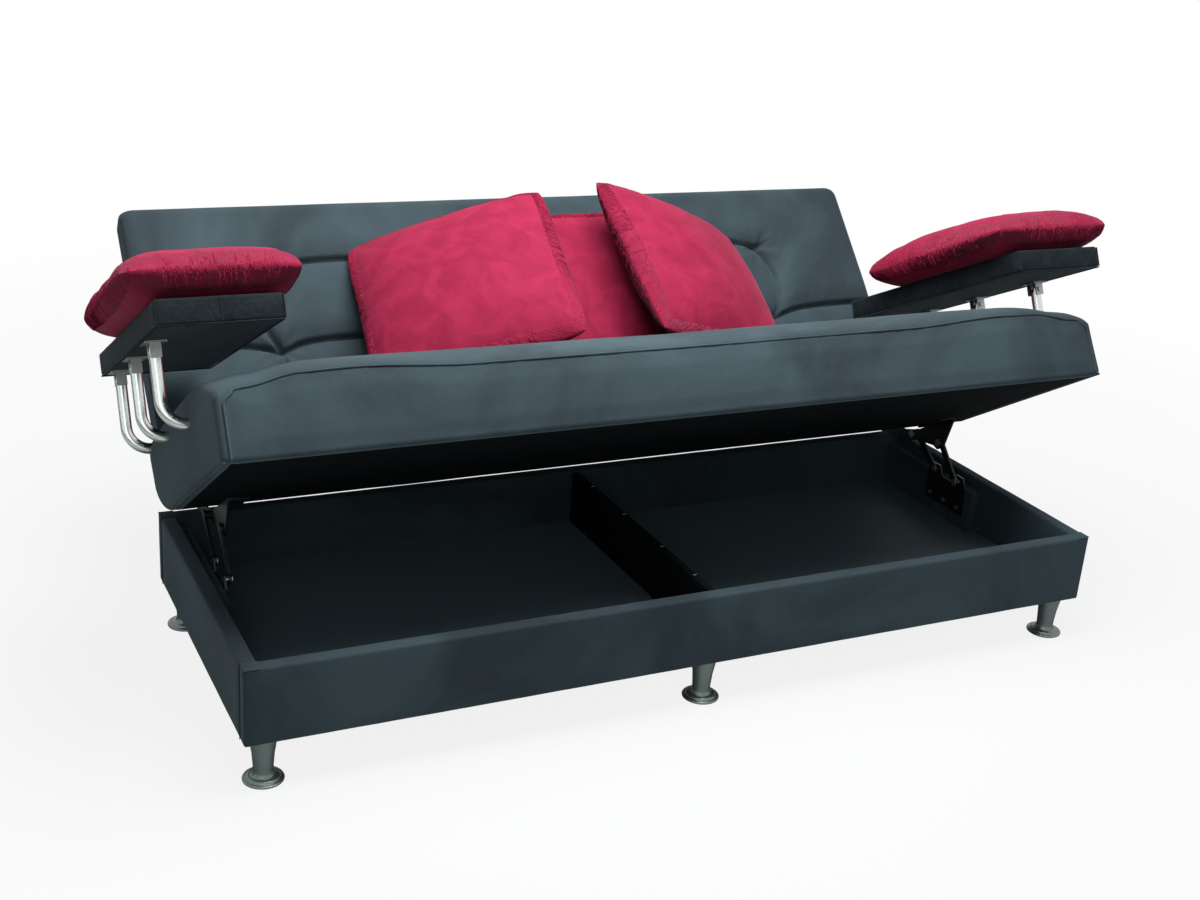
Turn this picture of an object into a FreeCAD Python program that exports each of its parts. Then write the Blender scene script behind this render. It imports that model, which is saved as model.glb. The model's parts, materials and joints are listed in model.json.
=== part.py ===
"""Storage sofa with a lift-up seat, standing open: base box, lifted seat, reclining back, arms, pillows.

Millimetres, +Z up, +X to the right of someone facing the sofa, +Y to the rear. The origin is on
the floor at the middle of the open sofa's footprint. The seat, back and arms are drawn with the
seat shut and level, each in its own frame, and the frames are then turned to the lifted pose.
"""
import FreeCAD, Part
import Sketcher
import math
import os
import re

V = FreeCAD.Vector
X_AXIS = V(1, 0, 0)
Y_AXIS = V(0, 1, 0)
Z_AXIS = V(0, 0, 1)
SIDES = (("left", -1), ("right", 1))

doc = FreeCAD.newDocument("storage_sofa")

# Driving dimensions, one sheet cell each
SIZES = {
    "origin_back": 234.5,         # from the middle of the box back to the origin
    # base box
    "box_width": 1860.0,
    "box_depth": 696.0,
    "leg_height": 93.0,
    "wall_height": 150.0,
    "wall_thick": 30.0,
    "batten_height": 17.0,
    "batten_width": 53.0,
    "floor_thick": 8.0,
    "divider_thick": 17.0,
    "divider_drop": 5.0,
    # feet
    "foot_inset_side": 43.0,
    "foot_inset_front": 40.0,
    "foot_top_radius": 26.0,
    "foot_neck_radius": 17.5,
    "foot_disc_radius": 37.5,
    "foot_disc_thick": 5.0,
    "foot_ring_radius": 29.0,
    "foot_ring_top": 12.0,
    "foot_plate_side": 60.0,
    "foot_plate_thick": 3.0,
    "foot_stud_radius": 4.0,
    "foot_stud_length": 24.0,
    # lift mechanism, in the base frame
    "lift_angle": 31.8,
    "lift_y": 303.0,
    "lift_z": 298.0,
    "front_link_y": 33.0,
    "rear_link_y": 120.0,
    "link_foot_drop": 15.0,       # lower link pivots below the rim
    "front_link_swing": 200.0,    # upper pivots' distances from the lift axis
    "rear_link_swing": 100.0,
    "cleat_thick": 25.0,
    "cleat_drop": 25.0,
    "cleat_front_y": -20.0,
    "bracket_thick": 4.0,
    "bracket_foot_drop": 93.0,
    "link_width": 16.0,
    "link_thick": 5.0,
    "link_eye_radius": 11.0,
    "link_side_gap": 0.5,
    "pivot_bolt_radius": 5.0,
    "pivot_head_radius": 9.0,
    "pivot_head_thick": 1.8,
    "pivot_clearance": 0.05,
    "running_gap": 0.3,
    "screw_head_radius": 5.5,
    "screw_head_height": 2.5,
    # seat, in the seat frame: u back from its front edge, v up from its underside
    "seat_lift_gap": 0.5,         # underside above the rim when shut
    "seat_overhang": 13.5,        # the seat's padded end beyond the box's side
    "seat_depth": 658.0,
    "seat_link_room": 22.0,       # the flat underside ends this far behind the rear link's pivot
    "seat_heel_inset": 13.0,
    "seat_crown_depth": 150.0,    # the crown's highest line, and a point behind it
    "seat_middle_depth": 390.0,
    "seat_heel_height": 70.0,
    "seat_front_height": 133.0,
    "seat_lobe_height": 145.0,
    "seat_end_height": 113.0,
    "seat_crown_height": 196.0,
    "seat_end_crown": 166.0,
    "seat_rear_height": 176.0,
    "seat_pad_side": 18.5,
    "seat_pad_front": 22.0,
    "seat_cloth_thick": 1.5,
    "seat_frame_height": 95.0,
    "seat_board_thick": 20.0,
    "webbing_thick": 1.5,
    "webbing_width": 60.0,
    "seat_block_front": 385.0,
    "seat_block_width": 95.0,
    "seat_block_height": 45.0,
    # recline pivot, in the seat frame, and the back, in the back frame
    "recline_behind": 62.0,       # the recline pivot behind the seat
    "recline_v": 120.0,
    "back_lean": 11.3,
    "recline_depth": 55.0,        # pivot behind the back's front face
    "back_thick": 100.0,
    "back_above_pivot": 582.0,
    "back_below_pivot": 30.0,
    "back_inset": 15.0,           # the back's end inside the box's side
    "back_side_draw": 30.0,
    "back_foam": 65.0,
    "back_frame_start": 66.0,
    "back_frame_top_pad": 22.0,
    "back_rail_width": 50.0,
    "back_rail_thick": 32.0,
    "back_cloth_thick": 1.5,
    "seat_plate_thick": 4.5,
    "flange_width": 40.0,
    "flange_length": 83.0,
    "flange_thick": 4.0,
    "drum_thick": 5.0,
    "drum_radius": 34.0,
    "drum_tooth_depth": 3.0,
    "drum_teeth": 30.0,
    "recline_bolt_radius": 6.0,
    "recline_ear_radius": 28.0,
    "back_plate_length": 220.0,
    # tufting
    "row_one_drop": 158.0,
    "row_two_drop": 352.0,
    "button_spacing": 310.0,
    "channel_depth": 7.0,
    "channel_radius": 30.0,
    "button_radius": 14.0,
    "button_height": 8.0,
    # arms, in the arm frame: u back, v up from the board's middle plane
    "arm_tilt": 6.0,
    "arm_origin_v": 260.0,
    "arm_overlap": 145.5,         # the arm board over the seat
    "arm_width": 219.0,
    "arm_front_u": 12.6,
    "arm_length": 635.0,
    "arm_thick": 46.4,
    "arm_top_v": 25.0,
    "arm_core_thick": 18.0,
    "arm_core_inset": 6.0,
    "arm_edge_radius": 5.0,
    "tube_diameter": 22.0,
    "tube_wall": 1.5,
    "tube_bend_radius": 45.0,
    "tube_inset": 27.0,           # the tubes inside the arm board's outer edge
    "tube_front_u": 196.0,
    "tube_middle_u": 403.0,
    "tube_rear_u": 584.5,
    "tube_front_drop": 149.0,
    "tube_middle_drop": 152.7,
    "tube_rear_drop": 157.7,
    "socket_radius": 20.0,
    "socket_thick": 4.0,
    "saddle_length": 44.0,
    "saddle_width": 40.0,
    "saddle_thick": 3.0,
    "saddle_ear_drop": 26.0,
    "saddle_ear_width": 20.0,
    "saddle_bolt_radius": 3.0,
    "saddle_bolt_drop": 14.0,
    # pillows
    "soft_gap": 0.5,
    "arm_pillow_width": 320.0,
    "arm_pillow_length": 520.0,
    "arm_pillow_rise": 60.0,
    "arm_pillow_sink": 42.0,
    "throw_side": 445.0,
    "throw_half_thick": 58.0,
    "middle_pillow_rise": 52.0,
    "middle_pillow_x": -10.0,
    "middle_pillow_drop": 324.3,
    "left_pillow_x": -248.0,
    "left_pillow_u": 537.4294,
    "left_pillow_v": 402.9596,
    "left_pillow_turn": -50.8,
    "left_pillow_tilt": 34.2,
    "left_pillow_roll": 37.8,
    "right_pillow_x": 346.0,
    "right_pillow_u": 568.3062,
    "right_pillow_v": 408.5730,
    "right_pillow_turn": 41.9,
    "right_pillow_tilt": 39.7,
    "right_pillow_roll": -30.6,
}

# Places that follow from those
FOLLOWING = {
    "seat_flat_depth": "=box_depth / 2 + rear_link_y + seat_link_room",
    "seat_heel_depth": "=seat_depth - seat_heel_inset",
    "recline_u": "=seat_depth + recline_behind",
    "seat_half_width": "=box_width / 2 + seat_overhang",
    "back_half_width": "=box_width / 2 - back_inset",
    "arm_inner": "=seat_half_width - arm_overlap",
    "arm_outer": "=arm_inner + arm_width",
    "tube_out": "=arm_outer - tube_inset",
}

sheet = doc.addObject("Spreadsheet::Sheet", "dim")
for row, (name, value) in enumerate({**SIZES, **FOLLOWING}.items(), 1):
    sheet.set("A%d" % row, name)
    sheet.set("B%d" % row, str(value))
    sheet.setAlias("B%d" % row, name)
doc.recompute()


def size(name):
    """A driving dimension, read from the sheet."""
    return float(sheet.get(name))


# Frames: each sub-part is drawn in one of these and placed by it
BASE = FreeCAD.Placement(V(0, -size("origin_back"), 0), FreeCAD.Rotation())
RIM = size("leg_height") + size("wall_height")
LIFT_AXIS = V(0, size("lift_y"), size("lift_z"))
LID = BASE * FreeCAD.Placement(V(0, 0, 0), FreeCAD.Rotation(X_AXIS, -size("lift_angle")), LIFT_AXIS)
SEAT = LID * FreeCAD.Placement(V(0, -size("box_depth") / 2, RIM + size("seat_lift_gap")),
                               FreeCAD.Rotation())
BACK = SEAT * FreeCAD.Placement(V(0, size("recline_u"), size("recline_v")),
                                FreeCAD.Rotation(X_AXIS, -size("back_lean")))
ARM = SEAT * FreeCAD.Placement(V(0, 0, size("arm_origin_v")),
                               FreeCAD.Rotation(X_AXIS, size("arm_tilt")))

sub_parts = []


def sub_part(label, objects, frame):
    """One named sub-part: its solids, drawn in a frame and placed by it."""
    piece = doc.addObject("Part::Compound", label)
    piece.Label = label
    piece.Links = objects
    piece.Placement = frame
    sub_parts.append(piece)
    return piece


def bind(thing, **expressions):
    """Bind properties to the sheet: Length="box_width / 2" and so on."""
    paths = {"x": "Placement.Base.x", "y": "Placement.Base.y", "z": "Placement.Base.z"}
    for name, expression in expressions.items():
        thing.setExpression(paths.get(name, name), cells(expression))


def cells(expression):
    """Write dim. before each size's name in an expression."""
    return re.sub("[a-z][a-z_]*", lambda word: "dim." + word.group(0), expression)


def board(name, x, y, z, length, width, height):
    """A rectangular board: its low corner and its sizes along X, Y and Z.

    Each is an expression, or a number where the place is worked out from the mechanism.
    """
    box = doc.addObject("Part::Box", name)
    spans = {"x": x, "y": y, "z": z, "Length": length, "Width": width, "Height": height}
    bind(box, **{key: rule for key, rule in spans.items() if isinstance(rule, str)})
    corner = [0.0 if isinstance(rule, str) else rule for rule in (x, y, z)]
    box.Placement.Base = V(*corner)
    for key in ("Length", "Width", "Height"):
        if not isinstance(spans[key], str):
            setattr(box, key, spans[key])
    return box


def rod(name, at, axis, radius, height):
    """A cylinder from a point along an axis."""
    cylinder = doc.addObject("Part::Cylinder", name)
    cylinder.Radius = radius
    cylinder.Height = height
    cylinder.Placement = FreeCAD.Placement(at, FreeCAD.Rotation(Z_AXIS, axis))
    return cylinder


def cut(name, base, *tools):
    """The base less the tools."""
    for number, tool in enumerate(tools):
        result = doc.addObject("Part::Cut", "%s_%d" % (name, number))
        result.Base = base
        result.Tool = tool
        base = result
    return base


def fuse(name, *shapes):
    """One solid from several that touch."""
    result = doc.addObject("Part::MultiFuse", name)
    result.Shapes = list(shapes)
    result.Refine = True
    return result


def solid(name, shape):
    """A form that neither sketches nor primitives give."""
    feature = doc.addObject("Part::Feature", name)
    feature.Shape = shape
    return feature


def plane_of(body, role):
    return next(item for item in body.Origin.OriginFeatures if item.Role == role)


def sketch_on(body, role, name):
    sketch = body.newObject("Sketcher::SketchObject", name)
    sketch.AttachmentSupport = [(plane_of(body, role), "")]
    sketch.MapMode = "FlatFace"
    return sketch


def driven(sketch, constraint, expression):
    """Add a constraint whose value the sheet drives."""
    index = sketch.addConstraint(constraint)
    sketch.setExpression("Constraints[%d]" % index, cells(expression))


def polygon(sketch, corners):
    """Straight sides through corners given as pairs of expressions in the sheet's sizes."""
    values = [[value_of(part) for part in corner] for corner in corners]
    count = len(corners)
    for index in range(count):
        start = V(values[index][0], values[index][1], 0)
        end = V(values[(index + 1) % count][0], values[(index + 1) % count][1], 0)
        sketch.addGeometry(Part.LineSegment(start, end))
    for index in range(count):
        sketch.addConstraint(Sketcher.Constraint("Coincident", index, 2, (index + 1) % count, 1))
    for index, (along, up) in enumerate(corners):
        for kind, expression, value in (("DistanceX", along, values[index][0]),
                                        ("DistanceY", up, values[index][1])):
            driven(sketch, Sketcher.Constraint(kind, -1, 1, index, 1, value), expression)


def value_of(expression):
    """The present value of an expression of the sheet's sizes."""
    holder = value_of.holder
    holder.setExpression("Value", cells(expression))
    holder.recompute()
    return holder.Value


value_of.holder = doc.addObject("App::FeaturePython", "scratch_value")
value_of.holder.addProperty("App::PropertyFloat", "Value")


def plate(name, corners, start, thick, holes=()):
    """A plate across X: its outline in (Y, Z), its first face, its thickness and its round holes."""
    body = doc.addObject("PartDesign::Body", name)
    outline = sketch_on(body, "YZ_Plane", name + "_outline")
    polygon(outline, corners)
    pad = body.newObject("PartDesign::Pad", name + "_pad")
    pad.Profile = outline
    pad.setExpression("Length", cells(thick))
    if holes:
        drilling = sketch_on(body, "YZ_Plane", name + "_holes")
        for index, (along, up, radius) in enumerate(holes):
            centre = V(value_of(along), value_of(up), 0)
            drilling.addGeometry(Part.Circle(centre, Z_AXIS, value_of(radius)))
            driven(drilling, Sketcher.Constraint("DistanceX", -1, 1, index, 3, centre.x), along)
            driven(drilling, Sketcher.Constraint("DistanceY", -1, 1, index, 3, centre.y), up)
            driven(drilling, Sketcher.Constraint("Radius", index, value_of(radius)), radius)
        pocket = body.newObject("PartDesign::Pocket", name + "_drilled")
        pocket.Profile = drilling
        pocket.Type = "ThroughAll"
        pocket.Reversed = True
    body.Placement.Base.x = start
    return body


def turned(name, profile, at):
    """A round piece about Z: the half outline as (radius, height) expressions."""
    body = doc.addObject("PartDesign::Body", name)
    half = sketch_on(body, "XZ_Plane", name + "_profile")
    polygon(half, profile)
    spin = body.newObject("PartDesign::Revolution", name + "_turned")
    spin.Profile = half
    spin.ReferenceAxis = (half, ["V_Axis"])
    spin.Angle = 360
    body.Placement = at
    return body


def mirrored_x(side, low, high):
    """A span of X on one side: the low end of the same span on the left or the right."""
    return low if side > 0 else -high


def base_box():
    """Four wrapped walls, the floor panel on battens, and the divider."""
    sub_part("front_wall", [board("front_wall_board", "-box_width / 2", "-box_depth / 2", "leg_height",
                                  "box_width", "wall_thick", "wall_height")], BASE)
    sub_part("rear_wall", [board("rear_wall_board", "-box_width / 2", "box_depth / 2 - wall_thick",
                                 "leg_height", "box_width", "wall_thick", "wall_height")], BASE)
    inner_depth = "box_depth - 2 * wall_thick"
    inner_front = "wall_thick - box_depth / 2"
    for label, x in (("left_wall", "-box_width / 2"), ("right_wall", "box_width / 2 - wall_thick")):
        sub_part(label, [board(label + "_board", x, inner_front, "leg_height",
                               "wall_thick", inner_depth, "wall_height")], BASE)
    inner_left = "wall_thick - box_width / 2"
    inner_width = "box_width - 2 * wall_thick"
    battens = [board("batten_" + label, x, inner_front, "leg_height",
                     "batten_width", inner_depth, "batten_height")
               for label, x in (("left", inner_left), ("middle", "-batten_width / 2"),
                                ("right", "box_width / 2 - wall_thick - batten_width"))]
    sub_part("floor_battens", battens, BASE)
    sub_part("floor_panel", [board("floor_panel_board", inner_left, inner_front,
                                   "leg_height + batten_height",
                                   inner_width, inner_depth, "floor_thick")], BASE)
    sub_part("divider", [board("divider_board", "-divider_thick / 2", inner_front,
                               "leg_height + batten_height + floor_thick",
                               "divider_thick", inner_depth,
                               "wall_height - batten_height - floor_thick - divider_drop")], BASE)


def feet():
    """Six turned feet, each screwed on the stud of a square plate under the box."""
    plates = []
    profile = (("0", "0"), ("foot_disc_radius", "0"), ("foot_disc_radius", "foot_disc_thick"),
               ("foot_ring_radius", "foot_disc_thick + 1.5"), ("foot_ring_radius", "foot_ring_top - 2"),
               ("foot_neck_radius", "foot_ring_top + 2"),
               ("foot_top_radius", "leg_height - foot_plate_thick"),
               ("0", "leg_height - foot_plate_thick"))
    side_x = size("box_width") / 2 - size("foot_inset_side")
    row_y = size("box_depth") / 2 - size("foot_inset_front")
    top = size("leg_height") - size("foot_plate_thick")
    for row, y in (("front", -row_y), ("rear", row_y)):
        for column, x in (("left", -side_x), ("middle", 0.0), ("right", side_x)):
            label = "foot_%s_%s" % (row, column)
            cone = turned(label + "_cone", profile, FreeCAD.Placement(V(x, y, 0), FreeCAD.Rotation()))
            bore = rod(label + "_bore", V(x, y, top), -Z_AXIS,
                       size("foot_stud_radius"), size("foot_stud_length"))
            sub_part(label, [cut(label + "_drilled", cone, bore)], BASE)
            half = size("foot_plate_side") / 2
            square = doc.addObject("Part::Box", label + "_plate")
            square.Placement.Base = V(x - half, y - half, top)
            bind(square, Length="foot_plate_side", Width="foot_plate_side", Height="foot_plate_thick")
            stud = rod(label + "_stud", V(x, y, top), -Z_AXIS,
                       size("foot_stud_radius"), size("foot_stud_length"))
            plates.append(fuse(label + "_plate_and_stud", square, stud))
    sub_part("foot_plates", plates, BASE)


# Widths across the mechanism, from the box's inner wall inwards. The rear links turn in an outer
# lane and the front links in an inner one, since a front link passes over the rear lower pivot.
WALL_IN = size("box_width") / 2 - size("wall_thick")
CLEAT_IN = WALL_IN - size("cleat_thick")
LOWER_IN = CLEAT_IN - size("bracket_thick")
HEAD_ROOM = size("pivot_head_thick") + 2 * size("running_gap")
REAR_LINK_IN = LOWER_IN - size("link_side_gap") - size("link_thick")
FRONT_LINK_IN = REAR_LINK_IN - HEAD_ROOM - size("link_thick")
SEAT_PLATE_OUT = FRONT_LINK_IN - HEAD_ROOM
SEAT_PLATE_IN = SEAT_PLATE_OUT - size("seat_plate_thick")
DRUM_IN = SEAT_PLATE_IN - size("drum_thick")
BACK_PLATE_OUT = DRUM_IN - size("running_gap")
BACK_PLATE_IN = BACK_PLATE_OUT - size("seat_plate_thick")
LINKS = (("front", "front_link_y", "front_link_swing", FRONT_LINK_IN),
         ("rear", "rear_link_y", "rear_link_swing", REAR_LINK_IN))


def link_points(foot_name, swing_name):
    """A link's lower pivot, and its upper pivot lifted and shut, in the base frame (Y, Z).

    The lower pivot lies on the line that halves the upper pivot's swing about the lift axis,
    so the link fits at both ends of the travel.
    """
    foot = V(0, size(foot_name), RIM - size("link_foot_drop"))
    middle = math.atan2(foot.z - LIFT_AXIS.z, foot.y - LIFT_AXIS.y)
    half = math.radians(size("lift_angle")) / 2
    swing = size(swing_name)
    tops = [LIFT_AXIS + V(0, swing * math.cos(angle), swing * math.sin(angle))
            for angle in (middle - half, middle + half)]
    return foot, tops[0], tops[1]


def lift_mechanism():
    """Cleats, lower brackets, pivot bolts and two links a side."""
    lug_top = "leg_height + wall_height - 1.5"
    low = "leg_height + wall_height - bracket_foot_drop"
    pivot_z = "leg_height + wall_height - link_foot_drop"
    waist = "leg_height + wall_height - cleat_drop"
    outline = (("front_link_y - 25", low), ("rear_link_y + 26", low), ("rear_link_y + 26", waist),
               ("rear_link_y + 14", lug_top), ("rear_link_y - 14", lug_top), ("rear_link_y - 26", waist),
               ("front_link_y + 26", waist), ("front_link_y + 14", lug_top),
               ("front_link_y - 14", lug_top), ("front_link_y - 25", waist))
    holes = (("front_link_y", pivot_z, "pivot_bolt_radius"), ("rear_link_y", pivot_z, "pivot_bolt_radius"))
    cleats, bolts, screws = [], [], []
    for name, side in SIDES:
        cleats.append(board("cleat_" + name, mirrored_x(side, CLEAT_IN, WALL_IN), "cleat_front_y",
                            "leg_height + batten_height + floor_thick", "cleat_thick",
                            "box_depth / 2 - wall_thick - cleat_front_y",
                            "wall_height - batten_height - floor_thick - cleat_drop"))
        sub_part("lower_bracket_" + name,
                 [plate("lower_bracket_%s_plate" % name, outline,
                        mirrored_x(side, LOWER_IN, CLEAT_IN), "bracket_thick", holes)], BASE)
        for which, foot_name, swing_name, lane in LINKS:
            foot, lifted, _ = link_points(foot_name, swing_name)
            under_head = V(side * (lane - size("running_gap")), foot.y, foot.z)
            shank = rod("lower_shank_%s_%s" % (which, name), under_head, V(side, 0, 0),
                        size("pivot_bolt_radius"), CLEAT_IN - lane + size("running_gap"))
            head = rod("lower_head_%s_%s" % (which, name), under_head, V(-side, 0, 0),
                       size("pivot_head_radius"), size("pivot_head_thick"))
            bolts.append(fuse("lower_bolt_%s_%s" % (which, name), shank, head))
            link(which, name, side, lane, foot, lifted)
        screw_z = RIM - size("bracket_foot_drop") + 15
        for y in (size("front_link_y") - 8, (size("front_link_y") + size("rear_link_y")) / 2,
                  size("rear_link_y") + 9):
            head = rod("bracket_screw_head", V(side * LOWER_IN, y, screw_z), V(-side, 0, 0),
                       size("screw_head_radius"), size("screw_head_height"))
            screws.append(head)
    sub_part("link_cleats", cleats, BASE)
    sub_part("lower_pivot_bolts", bolts, BASE)
    sub_part("bracket_screws", screws, BASE)


def link(which, name, side, lane, foot, lifted):
    """A flat bar with two eyes, drawn lifted, and the upper rivet's collar that reaches the seat plate."""
    run = lifted - foot
    slope = math.degrees(math.atan2(run.z, run.y))
    label = "%s_link_%s" % (which, name)
    start = mirrored_x(side, lane, lane + size("link_thick"))
    bar = doc.addObject("Part::Box", label + "_bar")
    bind(bar, Length="link_thick", Height="link_width")
    bar.Width = run.Length
    bar.Placement = FreeCAD.Placement(V(start, foot.y, foot.z), FreeCAD.Rotation(X_AXIS, slope))
    bar.Placement = bar.Placement * FreeCAD.Placement(V(0, 0, -size("link_width") / 2), FreeCAD.Rotation())
    eyes = [rod("%s_%s_eye" % (label, end), V(start, at.y, at.z), X_AXIS,
                size("link_eye_radius"), size("link_thick"))
            for end, at in (("lower", foot), ("upper", lifted))]
    collar = rod(label + "_collar", V(side * lane, lifted.y, lifted.z), V(-side, 0, 0),
                 size("pivot_head_radius"), lane - SEAT_PLATE_OUT - 2 * size("running_gap"))
    blank = fuse(label + "_blank", bar, *eyes, collar)
    hole = rod(label + "_hole", V(start, foot.y, foot.z), X_AXIS,
               size("pivot_bolt_radius") + size("pivot_clearance"), size("link_thick"))
    sub_part(label, [cut(label + "_drilled", blank, hole)], BASE)


def seat_point(at):
    """A point of the base frame with the seat shut, in the seat frame."""
    return at - V(0, -size("box_depth") / 2, RIM + size("seat_lift_gap"))


def wire(edges):
    return Part.Wire(Part.__sortEdges__(edges))


def arc(start, through, end):
    return Part.Arc(start, through, end).toShape()


def line(start, end):
    return Part.LineSegment(start, end).toShape()


def seat_section(x, front, crown, rear, shrink):
    """The seat's side outline at one x: flat underside, heel, rounded rear top, crown and front."""
    flat, heel, depth = size("seat_flat_depth"), size("seat_heel_depth"), size("seat_depth")
    heel_up, high, mid = size("seat_heel_height"), size("seat_crown_depth"), size("seat_middle_depth")
    point = lambda u, v: V(x, shrink + u * (1 - 2 * shrink / depth), v + shrink * 0.5 * (v < 1))
    corners = [point(0, 0), point(flat, 0), point(heel, heel_up), point(depth, rear - 34),
               point(depth - 36, rear), point(high, crown), point(0, front)]
    return wire([line(corners[0], corners[1]),
                 arc(corners[1], point((flat + heel) / 2 + 22, heel_up * 0.37), corners[2]),
                 line(corners[2], corners[3]),
                 arc(corners[3], point(depth - 9, rear - 9), corners[4]),
                 arc(corners[4], point(mid, (crown + rear) / 2 + 6), corners[5]),
                 arc(corners[5], point(high * 0.32, front + (crown - front) * 0.62), corners[6]),
                 line(corners[6], corners[0])])


def seat_side_outline():
    """The seat's side board, inside the padding: outline corners in the seat frame."""
    return (("seat_pad_front", "seat_cloth_thick"), ("seat_flat_depth", "seat_cloth_thick"),
            ("seat_flat_depth + 85", "24"), ("seat_heel_depth - 17", "66"),
            ("seat_depth - 20", "132"), ("seat_depth - 50", "156"), ("160", "140"),
            ("seat_pad_front", "seat_frame_height"))


def seat():
    """Crowned cushion over a box frame with webbing, closed below by cloth."""
    half = size("seat_half_width")
    stations = ((0.0, "seat_front_height", "seat_crown_height", 0.0),
                (0.34, "seat_front_height", "seat_crown_height", 0.0),
                (0.62, "seat_lobe_height", "seat_crown_height", 0.0),
                (0.82, "seat_lobe_height", "seat_crown_height", 0.0),
                (0.94, "seat_front_height", "seat_rear_height", 0.0),
                (0.985, "seat_end_height", "seat_end_crown", 0.0),
                (1.0, "seat_end_height", "seat_end_crown", 5.0))
    sections = []
    for share, front, crown, shrink in stations[::-1]:
        sections.append((-share, front, crown, shrink))
    for share, front, crown, shrink in stations[1:]:
        sections.append((share, front, crown, shrink))
    wires = []
    for share, front, crown, shrink in sections:
        rear = min(size("seat_rear_height"), size(crown)) - 6 * abs(share)
        wires.append(seat_section(share * half, size(front) - shrink, size(crown) - shrink,
                                  rear - shrink, shrink))
    pad = solid("seat_pad", Part.makeLoft(wires, True, True))
    board_out = "seat_half_width - seat_pad_side"
    pocket = board("seat_pocket", "seat_pad_side - seat_half_width", "seat_pad_front", "-10",
                   "2 * ( seat_half_width - seat_pad_side )", "seat_flat_depth - seat_pad_front",
                   "seat_frame_height + webbing_thick + 10")
    tools = [pocket]
    outer = half - size("seat_pad_side")
    inner = outer - size("seat_board_thick")
    for name, side in SIDES:
        start = mirrored_x(side, inner, outer)
        tools.append(plate("seat_board_room_" + name, seat_side_outline(), start, "seat_board_thick"))
        for which, at in tube_feet():
            tools.append(rod("seat_tube_hole_%s_%s" % (which, name), V(side * (outer - 1), at.y, at.z),
                             V(side, 0, 0), size("tube_diameter") / 2 + size("running_gap"), 60))
            tools.append(rod("seat_socket_room_%s_%s" % (which, name), V(side * inner, at.y, at.z),
                             V(-side, 0, 0), size("socket_radius") + size("running_gap"),
                             size("socket_thick") + size("running_gap")))
    sub_part("seat_cushion", [cut("seat_cushion_cut", pad, *tools)], SEAT)
    for name, side in SIDES:
        holes = tuple(("%.3f" % at.y, "%.3f" % at.z, "tube_diameter / 2") for which, at in tube_feet())
        start = mirrored_x(side, inner, outer)
        side_board = plate("seat_side_board_%s_blank" % name, seat_side_outline(), start,
                           "seat_board_thick", holes)
        sub_part("seat_side_board_" + name, [side_board], SEAT)
    rail_z = "seat_cloth_thick"
    rail_height = "seat_frame_height - seat_cloth_thick"
    rail_x = "seat_pad_side + seat_board_thick - seat_half_width"
    rail_length = "2 * ( seat_half_width - seat_pad_side - seat_board_thick )"
    rails = [board("seat_front_rail", rail_x, "seat_pad_front", rail_z,
                   rail_length, "seat_board_thick", rail_height),
             board("seat_rear_rail", rail_x, "seat_flat_depth - seat_board_thick", rail_z,
                   rail_length, "seat_board_thick", rail_height)]
    for number in (-1, 0, 1):
        rails.append(board("seat_cross_rail_%d" % (number + 2),
                           number * inner / 2 - size("seat_board_thick") / 2,
                           "seat_pad_front + seat_board_thick", rail_z, "seat_board_thick",
                           "seat_flat_depth - seat_pad_front - 2 * seat_board_thick", rail_height))
    for name, side in SIDES:
        rails.append(board("seat_block_" + name, mirrored_x(side, inner - size("seat_block_width"), inner),
                           "seat_block_front", rail_z, "seat_block_width",
                           "seat_flat_depth - seat_board_thick - seat_block_front",
                           "seat_block_height - seat_cloth_thick"))
    sub_part("seat_rails", rails, SEAT)
    bands = []
    count = 14
    for number in range(count):
        middle = (number - (count - 1) / 2) * 2 * inner / count
        bands.append(board("seat_band_%d" % number, middle - size("webbing_width") / 2,
                           "seat_pad_front", "seat_frame_height", "webbing_width",
                           "seat_flat_depth - seat_pad_front", "webbing_thick"))
    sub_part("seat_webbing", bands, SEAT)
    sub_part("seat_underside_cloth",
             [board("seat_cloth", "seat_pad_side - seat_half_width", "seat_pad_front", "0",
                    "2 * ( " + board_out + " )", "seat_flat_depth - seat_pad_front",
                    "seat_cloth_thick")], SEAT)


def tube_feet():
    """Where each arm tube enters the seat's side, in the seat frame."""
    under = size("arm_top_v") - size("arm_thick")
    to_seat = FreeCAD.Placement(V(0, 0, size("arm_origin_v")), FreeCAD.Rotation(X_AXIS, size("arm_tilt")))
    return [(which, to_seat.multVec(V(0, size("tube_%s_u" % which), under - size("tube_%s_drop" % which))))
            for which in ("front", "middle", "rear")]


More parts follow.
